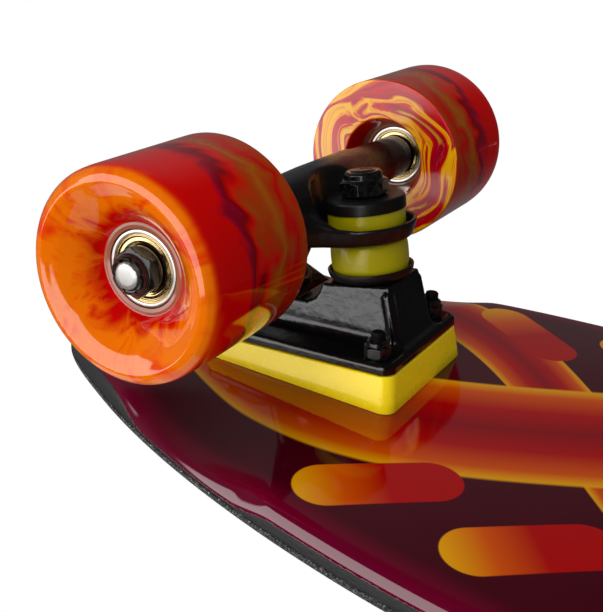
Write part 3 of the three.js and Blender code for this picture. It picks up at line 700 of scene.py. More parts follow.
def rounded_ring(half_length, half_wide, corner, height):
    """A rectangle's ring with round corners, at a height given by its x."""
    points = []
    turns = np.linspace(0, math.pi / 2, CORNER_STEPS)
    for quarter, (sx, sy) in enumerate(((1, 1), (-1, 1), (-1, -1), (1, -1))):
        angle = quarter * math.pi / 2 + turns
        x = sx * (half_length - corner) + corner * np.cos(angle)
        y = sy * (half_wide - corner) + corner * np.sin(angle)
        points.append(np.stack([x, y, height(x)], -1))
    return np.concatenate(points)


def closing_rings(ring):
    """The ring drawn in to nearly a point, to close the end of a form."""
    middle = ring.mean(0)
    return [middle + (ring - middle) * share for share in (0.6, 0.25, 0.02)]


def riser_ring(inset, level):
    """The wedge's ring at a level from 0 at the baseplate to 1 at the deck."""
    draft = RISER_DRAFT * (1 - level)

    def height(x):
        low = x * math.tan(wedge) + PIECE_GAP / 2
        return low + (riser_mid - low) * level

    return rounded_ring(
        RISER_HALF_LENGTH - draft - inset, RISER_HALF_WIDTH - draft - inset,
        RISER_CORNER - inset / 2, height)


riser_rings = []
for bend in np.linspace(0, math.pi / 2, EDGE_BENDS):
    rounding = riser_ring(RISER_EDGE * (1 - math.sin(bend)), 0)
    rounding[:, 2] += RISER_EDGE * (1 - math.cos(bend))
    riser_rings.append(rounding)
riser_rings = closing_rings(riser_rings[0])[::-1] + riser_rings
riser_rings += [riser_ring(0, level) for level in WALL_LEVELS]
riser_rings += [riser_ring(inset, level) for inset, level in TOP_EASING]
riser_rings += closing_rings(riser_rings[-1])
riser_mesh = outward(ringed_mesh("riser_pad", riser_rings))

urethane_yellow, shader, place = surface(
    "moulded_yellow_urethane", paint(250, 220, 27), roughness=0.3, Subsurface_Weight=0.25,
    Subsurface_Radius=(1, 0.6, 0.1), Subsurface_Scale=1.5 * MM)
feed(shader.inputs["Roughness"], between(speckle(place, size_mm=4, detail=3), 0.2, 0.32))
relief(shader, speckle(place, size_mm=1.4, detail=3), depth_mm=0.04)
for end, at in riser_places.items():
    seat(f"{end}_riser", riser_mesh, urethane_yellow, "board", f"{end}_riser_pad", at,
         sharp=60)

# Eight countersunk machine screws clamp the trucks through the deck. Each is rolled steel,
# blackened, with a cross recess in its head and a nylon-ring lock nut under the flange.
PLATE_THICKNESS = 3.4
BOLT_X = 26.9
BOLT_Y = 20.65
BOLT_RADIUS = 2.4
BOLT_HEAD_RADIUS = 4.6
BOLT_HEAD_DEPTH = 2.6
BOLT_HEAD_RISE = 0.25  # above the grip
BOLT_TIP = 8.5
THREAD_PITCH = 0.8
THREAD_DEPTH = 0.34
THREAD_STEPS = 8  # rings to a turn of thread
GROOVE_SLOPE = 1.25
GROOVE_START = 0.1
LOCK_NUT_FLATS = 8
LOCK_NUT_HEIGHT = 6
HEX_SHARE = 0.66  # of a lock nut's height
COLLAR_SHARE = 0.43  # of a lock nut's width over its flats
NUT_CHAMFER = 0.5
NUT_CORNER_EASE = 0.18
NUT_CONE_SLOPE = 1.7
NUT_SIDES = 192
NUT_LEVELS = 30
TURNED_SIDES = 72
MOST_EASED = 2.2  # an eased corner takes up at most one part in this of a run
RECESS_WIDTH = 0.55
RECESS_SPREAD = 0.1
RECESS_REACH = 2.6
RECESS_DEPTH = 1.5
RECESS_WALL = 4  # steepness
HEAD_FACE_REACH = 0.3  # in from the head's face, where the recess still moves points
HEAD_RINGS = 18


def eased(points, radius, steps=4):
    """A profile with its inner corners rounded."""
    points = [np.array(p, float) for p in points]
    made = [points[0]]
    for before, corner, after in zip(points, points[1:], points[2:]):
        back, on = before - corner, after - corner
        back_length, on_length = np.linalg.norm(back), np.linalg.norm(on)
        reach = min(radius, back_length / MOST_EASED, on_length / MOST_EASED)
        start = corner + back / back_length * reach
        stop = corner + on / on_length * reach
        for t in np.linspace(0, 1, steps + 1):
            made.append((1 - t) ** 2 * start + 2 * t * (1 - t) * corner + t * t * stop)
    made.append(points[-1])
    return made


def turned(name, profile, sides=TURNED_SIDES, shape=None, loop=False):
    """A form turned about Z from (radius, height) points. shape alters the radius."""
    angle = np.arange(sides) * 2 * math.pi / sides
    rings = []
    for radius, height in profile:
        around = np.full(sides, float(radius))
        if shape is not None:
            around = shape(around, height, angle)
        rings.append(np.stack(
            [around * np.cos(angle), around * np.sin(angle), np.full(sides, float(height))], -1))
    if loop:
        rings.append(rings[0])
    return outward(ringed_mesh(name, rings))


def nut_shape(flats, height, chamfer):
    """The radius of a nut: six flats below, a cone that takes their corners off."""
    corner = flats / math.sqrt(3)
    third = math.pi / 3

    def shape(radius, level, angle):
        hexagon = flats / 2 / np.cos((angle + third / 2) % third - third / 2)
        flat = np.minimum(hexagon, corner - NUT_CORNER_EASE)
        near_end = np.maximum(0, chamfer - np.minimum(level, height - level))
        is_hex = radius > 0.98 * flats / 2
        return np.where(is_hex, np.minimum(flat, corner - near_end * NUT_CONE_SLOPE), radius)

    return shape


def screw_shape(low, high, radius_mm, pitch, depth):
    """The radius of a shank that has a rolled thread between two heights."""

    def shape(radius, level, angle):
        wave = (level / pitch - angle / (2 * math.pi)) % 1
        groove = depth * np.clip(GROOVE_SLOPE * np.abs(2 * wave - 1) - GROOVE_START, 0, 1)
        on_shank = (np.abs(radius - radius_mm) < 0.01) & (low < level < high)
        return np.where(on_shank, radius - groove, radius)

    return shape


def threaded_run(radius, low, high, pitch):
    """The rings that a thread needs between two heights."""
    return [(radius, level) for level in np.arange(low, high, pitch / THREAD_STEPS)]


def bench_height(x_mm, above):
    """Height on the bench, at x, of a level so far above the deck's underside."""
    return -(above + riser_mid - x_mm * math.sin(wedge)) / math.cos(wedge)


def lock_nut(name, flats, height, chamfer):
    """A hexagon nut with the round crimped collar that holds its locking ring."""
    collar = COLLAR_SHARE * flats
    hex_top = HEX_SHARE * height
    half = flats / 2
    hex_profile = [(half * 0.55, 0), (half * 0.9, 0)]
    hex_profile += [(half, level) for level in np.linspace(0, hex_top, NUT_LEVELS)]
    crown = eased([
        (half, hex_top), (collar + 0.35, hex_top), (collar, hex_top + 0.3),
        (collar, height - 0.7), (collar - 0.8, height), (0.66 * collar, height - 0.1),
        (0.62 * collar, height - 0.5), (0.4 * collar, height - 0.6)], radius=0.3)
    return turned(name, hex_profile + crown[1:], NUT_SIDES, nut_shape(flats, hex_top, chamfer))


def drive_recess(mesh, top):
    """Presses a cross recess into a bolt's head at the height of its face."""
    points = np.empty(len(mesh.vertices) * 3, np.float32)
    mesh.vertices.foreach_get("co", points)
    points = points.reshape(-1, 3)
    px, py, pz = points.T / MM
    out = np.hypot(px, py)
    arm = np.minimum(np.abs(px), np.abs(py)) - (RECESS_WIDTH + RECESS_SPREAD * out) / 2
    within = np.clip(-np.maximum(arm, out - RECESS_REACH) * RECESS_WALL, 0, 1)
    on_face = pz < top + HEAD_FACE_REACH
    points[:, 2] += np.where(on_face, within * RECESS_DEPTH, 0) * MM
    mesh.vertices.foreach_set("co", points.reshape(-1))
    mesh.update()


black_steel, shader, place = surface(
    "blackened_steel", paint(20, 20, 20), roughness=0.26, Metallic=0.1, Coat_Weight=0.15)
wear = speckle(place, size_mm=1.3, detail=4)
feed(shader.inputs["Base Color"],
     ramp(wear, (0.40, paint(14, 14, 15)), (0.68, paint(36, 35, 34))))
feed(shader.inputs["Roughness"], between(wear, 0.12, 0.32))
relief(shader, wear, depth_mm=0.012)

dull_black, shader, place = surface(
    "dull_black_screw", paint(17, 17, 17), roughness=0.55, Specular_IOR_Level=0.2)
relief(shader, speckle(place, size_mm=1.3, detail=4), depth_mm=0.012)

bolt_nut_mesh = lock_nut("bolt_lock_nut", LOCK_NUT_FLATS, LOCK_NUT_HEIGHT, NUT_CHAMFER)
bolt_tip = PLATE_THICKNESS + BOLT_TIP
thread_low = PLATE_THICKNESS + LOCK_NUT_HEIGHT - 1
for row, x_mm in (("inner", -BOLT_X), ("outer", BOLT_X)):
    head = bench_height(x_mm, DECK_THICKNESS + GRIP_THICKNESS + BOLT_HEAD_RISE)
    profile = [(r, head) for r in np.linspace(0, BOLT_HEAD_RADIUS - 0.3, HEAD_RINGS)]
    profile += [(BOLT_HEAD_RADIUS - 0.08, head + 0.1), (BOLT_HEAD_RADIUS, head + 0.35),
                (BOLT_RADIUS, head + BOLT_HEAD_DEPTH)]
    profile += threaded_run(BOLT_RADIUS, thread_low, bolt_tip - 0.5, THREAD_PITCH)
    profile += [(BOLT_RADIUS - 0.45, bolt_tip - 0.05), (BOLT_RADIUS - 0.7, bolt_tip),
                (0, bolt_tip)]
    threads = screw_shape(thread_low, bolt_tip, BOLT_RADIUS, THREAD_PITCH, THREAD_DEPTH)
    bolt_mesh = turned(f"bolt_{row}", profile, TURNED_SIDES, threads)
    drive_recess(bolt_mesh, head)
    for end, bench in ENDS:
        for side, y_mm in (("left", -BOLT_Y), ("right", BOLT_Y)):
            place_bolt = bench @ moved(x_mm, y_mm, 0)
            name = f"{row}_{side}"
            seat(f"{end}_screw_{name}", bolt_mesh, dull_black, "board",
                 f"{end}_bolt_{name}", place_bolt, sharp=40)
            stopped = 17 + 41 * (x_mm > 0) + 23 * (y_mm > 0)  # degrees, another for each nut
            turn = Matrix.Rotation(math.radians(stopped), 4, "Z")
            seat(f"{end}_locknut_{name}", bolt_nut_mesh, black_steel, "board",
                 f"{end}_lock_nut_{name}", place_bolt @ moved(0, 0, PLATE_THICKNESS) @ turn,
                 sharp=30)

# The baseplate is an aluminium casting in gloss black paint: a rimmed flange, and a boss
# with the kingpin's seat, a saddle, and the sloped housing of the pivot cup.
PLATE_HALF_LENGTH = 34.8
PLATE_HALF_WIDTH = 27.2
PLATE_CORNER = 4.4
PLATE_BEVEL = 1
PLATE_EASE = 0.5
PLATE_UNDER = 0.15  # paint and air between the flange and the riser
RIM_WIDTH = 2.2
RIM_HEIGHT = 0.4
RIM_RUN = 1.2  # width of the slope inside the rim
BOLT_SPOT_RADIUS = 5.3
BOSS_HALF_WIDTH = 12
BOSS_DRAFT = 0.05
BOSS_EASE = 1.4
BOSS_SIDE = [
    (-31.6, -4), (-31.6, 3.4), (-25.4, 24), (-1.2, 20.3), (-0.3, 17), (1.2, 14.4), (3.6, 12.9),
    (8, 12.6), (14, 15.6), (26.0, 21.6), (28.6, 21.8), (30.2, 20), (31, 17), (32.4, 3.4),
    (32.4, -4),
]
RIB_FOOT = (-29.8, 11.3, 0)
RIB_TOP = (-25.0, 10.7, 19.6)
RIB_RADIUS = 1.9
RIB_FILLET = 0.6
FOOT_FILLET = 3.4
KINGPIN_X = -16.6
KINGPIN_LEAN = math.radians(7.5)
KINGPIN_RADIUS = 4.76
KINGPIN_HEAD_RADIUS = 7.8
KINGPIN_HEAD_TOP = 6.9
POCKET_ROOM = 0.6
POCKET_EASE = 0.3
SEAT_HEIGHT = 22
SEAT_RADIUS = 20
SEAT_EASE = 0.9
AXLE_X = 9.9
AXLE_Z = 46.3
PIVOT_X = 19.5
PIVOT_Z = 14
CUP_RADIUS = 8
CUP_DEPTH = 7
CUP_RISE = 4.4
CUP_ROOM = 0.1
CUP_EASE = 0.7
CASTING_STEP = 0.62
SLOPE_REACH = 0.04
SKIN_PASSES = 4  # how often a casting's points are drawn to its true skin
LEAST_SLOPE_SQUARED = 0.05

pivot_lean = math.atan2(AXLE_X - PIVOT_X, AXLE_Z - PIVOT_Z)
on_kingpin = moved(KINGPIN_X, 0, 0) @ Matrix.Rotation(KINGPIN_LEAN, 4, "Y")
on_pivot = moved(PIVOT_X, 0, PIVOT_Z) @ Matrix.Rotation(pivot_lean, 4, "Y")


def about(x, z, at_x, at_z, lean):
    """Coordinates across and along an axis that leans in the XZ plane."""
    dx, dz = x - at_x, z - at_z
    return dx * math.cos(lean) - dz * math.sin(lean), dx * math.sin(lean) + dz * math.cos(lean)


def both(first, second, soft):
    """Where either form is: the lesser distance, filleted."""
    share = np.clip(0.5 + 0.5 * (second - first) / soft, 0, 1)
    return second + (first - second) * share - soft * share * (1 - share)


def common(first, second, soft):
    """Where the two forms overlap, its edge eased."""
    return -both(-first, -second, soft)


def without(form, cutter, soft):
    """A form with a cutter taken out of it."""
    return common(form, -cutter, soft)


def polygon(x, z, points):
    """Distance to the outline of a closed polygon, negative inside."""
    nearest = np.full(x.shape, np.inf)
    winding = np.ones(x.shape, bool)
    for (ax, az), (bx, bz) in zip(points, points[1:] + points[:1]):
        ex, ez = bx - ax, bz - az
        share = np.clip(((x - ax) * ex + (z - az) * ez) / (ex * ex + ez * ez), 0, 1)
        nearest = np.minimum(nearest, np.hypot(x - ax - share * ex, z - az - share * ez))
        crosses = (az > z) != (bz > z)
        if bz != az:
            crosses &= x < ax + (z - az) * ex / ez
            winding ^= crosses
    return np.where(winding, nearest, -nearest)


def rounded_plate(x, y, half_length, half_wide, corner):
    """Distance to a rounded rectangle."""
    px = np.abs(x) - half_length + corner
    py = np.abs(y) - half_wide + corner
    outside = np.hypot(np.maximum(px, 0), np.maximum(py, 0))
    return outside + np.minimum(np.maximum(px, py), 0) - corner


def rod(x, y, z, start, stop, radius):
    """Distance to a round-ended rod."""
    start, stop = np.array(start, float), np.array(stop, float)
    run = stop - start
    px, py, pz = x - start[0], y - start[1], z - start[2]
    share = np.clip((px * run[0] + py * run[1] + pz * run[2]) / (run @ run), 0, 1)
    return np.sqrt(
        (px - share * run[0]) ** 2 + (py - share * run[1]) ** 2 + (pz - share * run[2]) ** 2
    ) - radius


def slope_of(distance, points):
    """The gradient of a distance field at points."""
    slope = []
    for axis in range(3):
        step = np.zeros(3)
        step[axis] = SLOPE_REACH
        rise = distance(*(points + step).T) - distance(*(points - step).T)
        slope.append(rise / (2 * SLOPE_REACH))
    return np.stack(slope, -1)


def cast_mesh(name, distance, low, high):
    """A casting's skin, where its distance field is zero, in millimetres on the bench."""
    axes = [np.arange(a, b + CASTING_STEP, CASTING_STEP) for a, b in zip(low, high)]
    field = distance(*np.meshgrid(*axes, indexing="ij"))
    solid_side = field < 0
    cells = tuple(n - 1 for n in field.shape)
    total = np.zeros((*cells, 3))
    count = np.zeros(cells)
    # Each cell that the skin crosses gets one point, amid the crossings on its edges.
    for axis in range(3):
        others = [k for k in range(3) if k != axis]
        for first in (0, 1):
            for second in (0, 1):
                corner = [slice(0, n) for n in cells]
                corner[others[0]] = slice(first, first + cells[others[0]])
                corner[others[1]] = slice(second, second + cells[others[1]])
                beyond = list(corner)
                beyond[axis] = slice(1, 1 + cells[axis])
                f0, f1 = field[tuple(corner)], field[tuple(beyond)]
                cut = solid_side[tuple(corner)] != solid_side[tuple(beyond)]
                share = np.where(cut, f0 / np.where(cut, f0 - f1, 1), 0)
                total[..., axis] += share
                total[..., others[0]] += first * cut
                total[..., others[1]] += second * cut
                count += cut
    skin = count > 0
    index = np.full(cells, -1)
    index[skin] = np.arange(skin.sum())
    points = np.argwhere(skin) + total[skin] / count[skin][:, None]
    points = np.array([axes[k][0] for k in range(3)]) + points * CASTING_STEP
    # Each crossed edge gets one face, between the points of the four cells round it.
    quads = []
    for axis in range(3):
        others = [k for k in range(3) if k != axis]
        here = [slice(1, n) for n in cells]
        here[axis] = slice(0, cells[axis])
        beyond = list(here)
        beyond[axis] = slice(1, 1 + cells[axis])
        leaving = solid_side[tuple(here)] & ~solid_side[tuple(beyond)]
        entering = ~solid_side[tuple(here)] & solid_side[tuple(beyond)]
        turn = -1 if axis == 1 else 1
        for hit, order in ((leaving, turn), (entering, -turn)):
            base = np.argwhere(hit) + [0 if k == axis else 1 for k in range(3)]
            around = []
            for first, second in ((0, 0), (1, 0), (1, 1), (0, 1))[::order]:
                at = base.copy()
                at[:, others[0]] -= 1 - first
                at[:, others[1]] -= 1 - second
                around.append(index[tuple(at.T)])
            quads.append(np.stack(around, -1))
    for _ in range(SKIN_PASSES):
        slope = slope_of(distance, points)
        square = np.maximum((slope**2).sum(-1), LEAST_SLOPE_SQUARED)
        move = distance(*points.T) / square
        points = points - np.clip(move[:, None] * slope, -CASTING_STEP, CASTING_STEP)
    slope = slope_of(distance, points)
    normals = slope / np.maximum(np.linalg.norm(slope, axis=-1, keepdims=True), 1e-6)
    mesh = mesh_of(name, points * MM, np.concatenate(quads))
    mesh.shade_smooth()
    mesh.normals_split_custom_set_from_vertices(normals)
    return mesh


def baseplate(x, y, z):
    """Distance to the baseplate."""
    outline = rounded_plate(x, y, PLATE_HALF_LENGTH, PLATE_HALF_WIDTH, PLATE_CORNER)
    dish = np.clip((-outline - RIM_WIDTH) / RIM_RUN, 0, 1)
    top = PLATE_THICKNESS + RIM_HEIGHT - RIM_HEIGHT * dish * dish * (3 - 2 * dish)
    bevel = (outline + z - (PLATE_THICKNESS + RIM_HEIGHT - PLATE_BEVEL)) / math.sqrt(2)
    flange = common(common(outline, z - top, PLATE_EASE), bevel, PLATE_EASE)
    flank = np.abs(y) - BOSS_HALF_WIDTH + BOSS_DRAFT * (z - SEAT_HEIGHT / 2)
    boss = common(polygon(x, z, BOSS_SIDE), flank, BOSS_EASE)
    for hand in (-1, 1):
        foot, tip = ((at_x, hand * at_y, at_z) for at_x, at_y, at_z in (RIB_FOOT, RIB_TOP))
        boss = both(boss, rod(x, y, z, foot, tip, RIB_RADIUS), RIB_FILLET)
    whole = both(flange, boss, FOOT_FILLET)
    off_kingpin, up = about(x, z, KINGPIN_X, 0, KINGPIN_LEAN)
    from_kingpin = np.hypot(off_kingpin, y)
    over_seat = np.maximum(from_kingpin - SEAT_RADIUS, SEAT_HEIGHT - up)
    whole = without(whole, over_seat, SEAT_EASE)
    off_pivot, out = about(x, z, PIVOT_X, PIVOT_Z, pivot_lean)
    socket = np.maximum(np.hypot(off_pivot, y) - CUP_RADIUS - CUP_ROOM, -CUP_DEPTH - out)
    whole = without(whole, socket, CUP_EASE)
    pocket = np.maximum(
        from_kingpin - KINGPIN_HEAD_RADIUS - POCKET_ROOM, up - KINGPIN_HEAD_TOP)
    whole = without(whole, pocket, POCKET_EASE)
    for bolt_x in (-BOLT_X, BOLT_X):
        for bolt_y in (-BOLT_Y, BOLT_Y):
            spot = np.hypot(x - bolt_x, y - bolt_y) - BOLT_SPOT_RADIUS
            whole = without(whole, np.maximum(spot, PLATE_THICKNESS - z), PLATE_EASE)
    return np.maximum(whole, PLATE_UNDER - z)


gloss_black, shader, place = surface(
    "gloss_black_paint", paint(17, 17, 18), roughness=0.1, Coat_Weight=0.15, Coat_Roughness=0.06)
feed(shader.inputs["Roughness"], between(speckle(place, size_mm=1.6, detail=3), 0.04, 0.34))
relief(shader, speckle(place, size_mm=3.6, detail=3, warp=0.2), depth_mm=0.16)
plate_mesh = cast_mesh("baseplate_casting", baseplate, (-37, -29.5, -1.5), (37, 29.5, 27))
for end, bench in ENDS:
    seat(f"{end}_base_casting", plate_mesh, gloss_black, "board",
         f"{end}_baseplate", bench)

# The pivot cup is a thimble of dark, hard urethane. It is pressed into the baseplate's
# housing, and the hanger's nose turns in it.
CUP_LIP = 0.5
CUP_WALL = 1.2
CUP_MOUTH = (5.5, 0.4)
CUP_BALL_RADIUS = 5.3

cup_profile = eased([
    (CUP_RADIUS, -CUP_DEPTH), (CUP_RADIUS, CUP_RISE - 0.8), (CUP_RADIUS + CUP_LIP, CUP_RISE - 0.6),
    (CUP_RADIUS + 0.4, CUP_RISE + 0.2), (CUP_RADIUS - CUP_WALL, CUP_RISE + 0.2), CUP_MOUTH],
    radius=0.5)
cup_profile += [
    (CUP_BALL_RADIUS * math.cos(a), CUP_BALL_RADIUS * math.sin(a))
    for a in np.linspace(0, -math.pi / 2, 8)]
cup_mesh = turned("pivot_cup_thimble", [(0, -CUP_DEPTH)] + cup_profile)
cup_rubber, shader, place = surface(
    "dark_cup_urethane", paint(30, 29, 26), roughness=0.42)
relief(shader, speckle(place, size_mm=1, detail=3), depth_mm=0.05)
for end, bench in ENDS:
    seat(f"{end}_cup", cup_mesh, cup_rubber, "board", f"{end}_pivot_cup",
         bench @ on_pivot, sharp=40)

# The kingpin is a forged bolt pressed into the baseplate. Over it go a cup washer, the two
# bushings with the hanger between them, a cap washer and a nylon-ring lock nut.
KINGPIN_TOP = 57.4
KINGPIN_HEAD_BOTTOM = 1.6
KINGPIN_NUT_FLATS = 14.3
KINGPIN_NUT_HEIGHT = 7.8
KINGPIN_NUT_CHAMFER = 0.9
KINGPIN_NUT_TURN = math.radians(11)
KINGPIN_PITCH = 1.06
KINGPIN_THREAD_DEPTH = 0.5
RING_BOTTOM = 35
RING_FLOOR = 38.2
RING_TOP = 41
CAP_TOP = 49.1
WASHER_THICKNESS = 1.8
WASHER_BORE_ROOM = 0.25
WASHER_SIDES = 96
LOWER_RIM_RADIUS = 14.35
LOWER_RIM_HEIGHT = 3.4
CAP_RADIUS = 13.1
CAP_HEIGHT = 4.3
CAP_THICKNESS = 1.9

thread_low = CAP_TOP - 4
kingpin_profile = [
    (0, KINGPIN_HEAD_BOTTOM), (KINGPIN_HEAD_RADIUS - 0.6, KINGPIN_HEAD_BOTTOM),
    (KINGPIN_HEAD_RADIUS, KINGPIN_HEAD_BOTTOM + 0.6), (KINGPIN_HEAD_RADIUS, KINGPIN_HEAD_TOP - 0.4),
    (KINGPIN_HEAD_RADIUS - 0.4, KINGPIN_HEAD_TOP), (KINGPIN_RADIUS, KINGPIN_HEAD_TOP),
    *threaded_run(KINGPIN_RADIUS, thread_low, KINGPIN_TOP - 0.9, KINGPIN_PITCH),
    (KINGPIN_RADIUS - 0.7, KINGPIN_TOP - 0.3), (KINGPIN_RADIUS - 1.1, KINGPIN_TOP),
    (0, KINGPIN_TOP),
]
kingpin_mesh = turned("kingpin_bolt", kingpin_profile, TURNED_SIDES, screw_shape(
    thread_low, KINGPIN_TOP, KINGPIN_RADIUS, KINGPIN_PITCH, KINGPIN_THREAD_DEPTH))
kingpin_nut_mesh = lock_nut(
    "kingpin_lock_nut", KINGPIN_NUT_FLATS, KINGPIN_NUT_HEIGHT, KINGPIN_NUT_CHAMFER)

cup_bottom = SEAT_HEIGHT + PIECE_GAP
cup_rim = cup_bottom + LOWER_RIM_HEIGHT
cup_floor = cup_bottom + WASHER_THICKNESS
cap_foot = CAP_TOP - CAP_HEIGHT
cap_floor = CAP_TOP - CAP_THICKNESS
bore = KINGPIN_RADIUS + WASHER_BORE_ROOM
cup_washer_mesh = turned("cup_washer", eased([
    (bore, cup_bottom), (LOWER_RIM_RADIUS - 1.6, cup_bottom),
    (LOWER_RIM_RADIUS - 0.5, cup_bottom + 1.2), (LOWER_RIM_RADIUS, cup_rim),
    (LOWER_RIM_RADIUS - 1, cup_rim), (LOWER_RIM_RADIUS - 1.5, cup_floor), (bore, cup_floor),
    (bore, cup_bottom),
], radius=0.7), WASHER_SIDES)
cap_washer_mesh = turned("cap_washer", eased([
    (bore, cap_floor), (CAP_RADIUS - 1, cap_floor), (CAP_RADIUS - 0.8, cap_foot),
    (CAP_RADIUS, cap_foot), (CAP_RADIUS, CAP_TOP), (bore, CAP_TOP), (bore, cap_floor),
], radius=1.3, steps=6), WASHER_SIDES)

washer_black, shader, place = surface(
    "washer_black_oxide", paint(20, 20, 20), roughness=0.4)
oxide = speckle(place, size_mm=1.4, detail=3)
feed(shader.inputs["Roughness"], between(oxide, 0.26, 0.51))
relief(shader, oxide, depth_mm=0.03)

on_cap = moved(0, 0, CAP_TOP + PIECE_GAP) @ Matrix.Rotation(KINGPIN_NUT_TURN, 4, "Z")
for end, bench in ENDS:
    along = bench @ on_kingpin
    seat(f"{end}_kingpin_bolt", kingpin_mesh, black_steel, "board",
         f"{end}_kingpin", along, sharp=40)
    seat(f"{end}_cup_washer", cup_washer_mesh, washer_black, "board",
         f"{end}_boardside_washer", along, sharp=50)
    seat(f"{end}_cap_washer", cap_washer_mesh, washer_black, "board",
         f"{end}_roadside_washer", along, sharp=50)
    seat(f"{end}_kingpin_lock_nut", kingpin_nut_mesh, black_steel, "board",
         f"{end}_kingpin_nut", along @ on_cap, sharp=30)

# The bushings are cast urethane barrels that squash as the board leans. Here each is a
# straight barrel between the baseplate's side and the hanger's.
BUSHING_RADIUS = 12.5
BUSHING_BORE_ROOM = 0.5
BUSHING_GAP = 0.1
BUSHING_SIDES = 96
LOWER_BELLY = 0.35
UPPER_BELLY = 0.2

bushing_urethane, shader, place = surface(
    "cast_olive_urethane", paint(160, 150, 10), roughness=0.3, Subsurface_Weight=0.4,
    Subsurface_Radius=(1, 0.8, 0.1), Subsurface_Scale=3 * MM)
relief(shader, speckle(place, size_mm=2.2, detail=3), depth_mm=0.05)


def bushing_mesh(name, bottom, top, belly):
    """A barrel with eased rims about the kingpin."""
    middle = (bottom + top) / 2
    inner = KINGPIN_RADIUS + BUSHING_BORE_ROOM
    shoulder = BUSHING_RADIUS + belly * 0.8
    profile = eased([
        (inner, bottom), (BUSHING_RADIUS - 0.2, bottom), (BUSHING_RADIUS, bottom + 0.8),
        (shoulder, (bottom + middle) / 2), (BUSHING_RADIUS + belly, middle),
        (shoulder, (top + middle) / 2), (BUSHING_RADIUS, top - 0.7),
        (BUSHING_RADIUS - 0.7, top), (inner, top), (inner, middle), (inner, bottom),
    ], radius=0.8, steps=5)
    return turned(name, profile, BUSHING_SIDES)


for end, bench in ENDS:
    along = bench @ on_kingpin
    for name, replaced, fixed, steered, belly in (
        ("lower_bushing", "boardside_bushing", cup_floor + BUSHING_GAP / 2,
         RING_BOTTOM - BUSHING_GAP, LOWER_BELLY),
        ("upper_bushing", "roadside_bushing", cap_floor - BUSHING_GAP / 2,
         RING_FLOOR + BUSHING_GAP, UPPER_BELLY),
    ):
        bottom, top = sorted((fixed, steered))
        barrel = seat(f"{end}_{name}", bushing_mesh(f"{end}_{name}", bottom, top, belly),
                      bushing_urethane, None, f"{end}_{replaced}", along, sharp=50)
        along @ (Vector((0, 0, fixed)) * MM)
        along @ (Vector((0, 0, steered)) * MM)
        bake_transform(barrel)

# The hanger is one aluminium casting in satin black: the axle's tube, two arms that sweep
# to the bushing ring and leave a bowl round the cap washer, and the nose in the pivot cup.
HANGER_HALF_WIDTH = 63.5
TUBE_RADII = [(0, 9.3), (20, 8.9), (38, 8.4), (48, 8.15), (53, 7.8), (63.5, 7.7)]
TUBE_EASE = 0.9
RING_RADIUS = 16.4
RING_FOOT_RADIUS = 13.9
RING_SWELL = 0.7  # how early the ring's wall swells out from its foot
RING_EASE = 1.1
RING_BORE = 8
BORE_EASE = 0.5
BORE_PAST_FLOOR = 4
BOWL_EASE = 1
BOWL_ACROSS = [(37, 13.8), (38.2, 13.8), (41, 14.6), (47, 15.2), (56, 15.6), (64, 17)]
BOWL_ASIDE = [(37, 13.8), (38.2, 13.8), (41, 14.8), (45, 17), (51, 20.5), (60, 23)]
ARM_WIDTHS = [(-2, 15.6), (1, 16.3), (4, 17), (8, 18.4), (12, 20.6), (16, 23.8), (20.2, 28),
              (26, 33)]
ARM_TOPS = [(-4, 41), (2, 41.3), (8, 44.2), (14, 49.4), (20.2, 56), (27, 57)]
ARM_FEET = [(-4, 35), (6, 35), (12, 35.6), (16, 38), (20.2, 42), (27, 45)]
ARM_EASE = 1.6
ARM_PAST_RING = 2
ARM_PAST_AXLE = 4
ARM_END_EASE = 1
ARM_TAPER = 0.9  # how much of the ring's taper the arms follow
ARM_STRETCH = 0.85  # evens the arms' distances, which run long on their slopes
NOSE_RADII = [(-5, 5), (0, 5), (2, 4.7), (8, 4.9), (17, 5.7), (24, 6.8), (34, 8.5)]
NOSE_LENGTH = 33
BALL_RADIUS = 5
BALL_EASE = 0.5
CASTING_FILLET = 3.5
CUP_RIM_ROOM = 14  # radius kept free for the cup washer's rim as the hanger steers
ROOM_SPREAD = 0.2
ROOM_EASE = 0.8

axle_across, _ = about(AXLE_X, AXLE_Z, KINGPIN_X, 0, KINGPIN_LEAN)


def table(pairs, at):
    """A value read off pairs of (place, value), straight between them."""
    places, values = zip(*pairs)
    return np.interp(at, places, values)


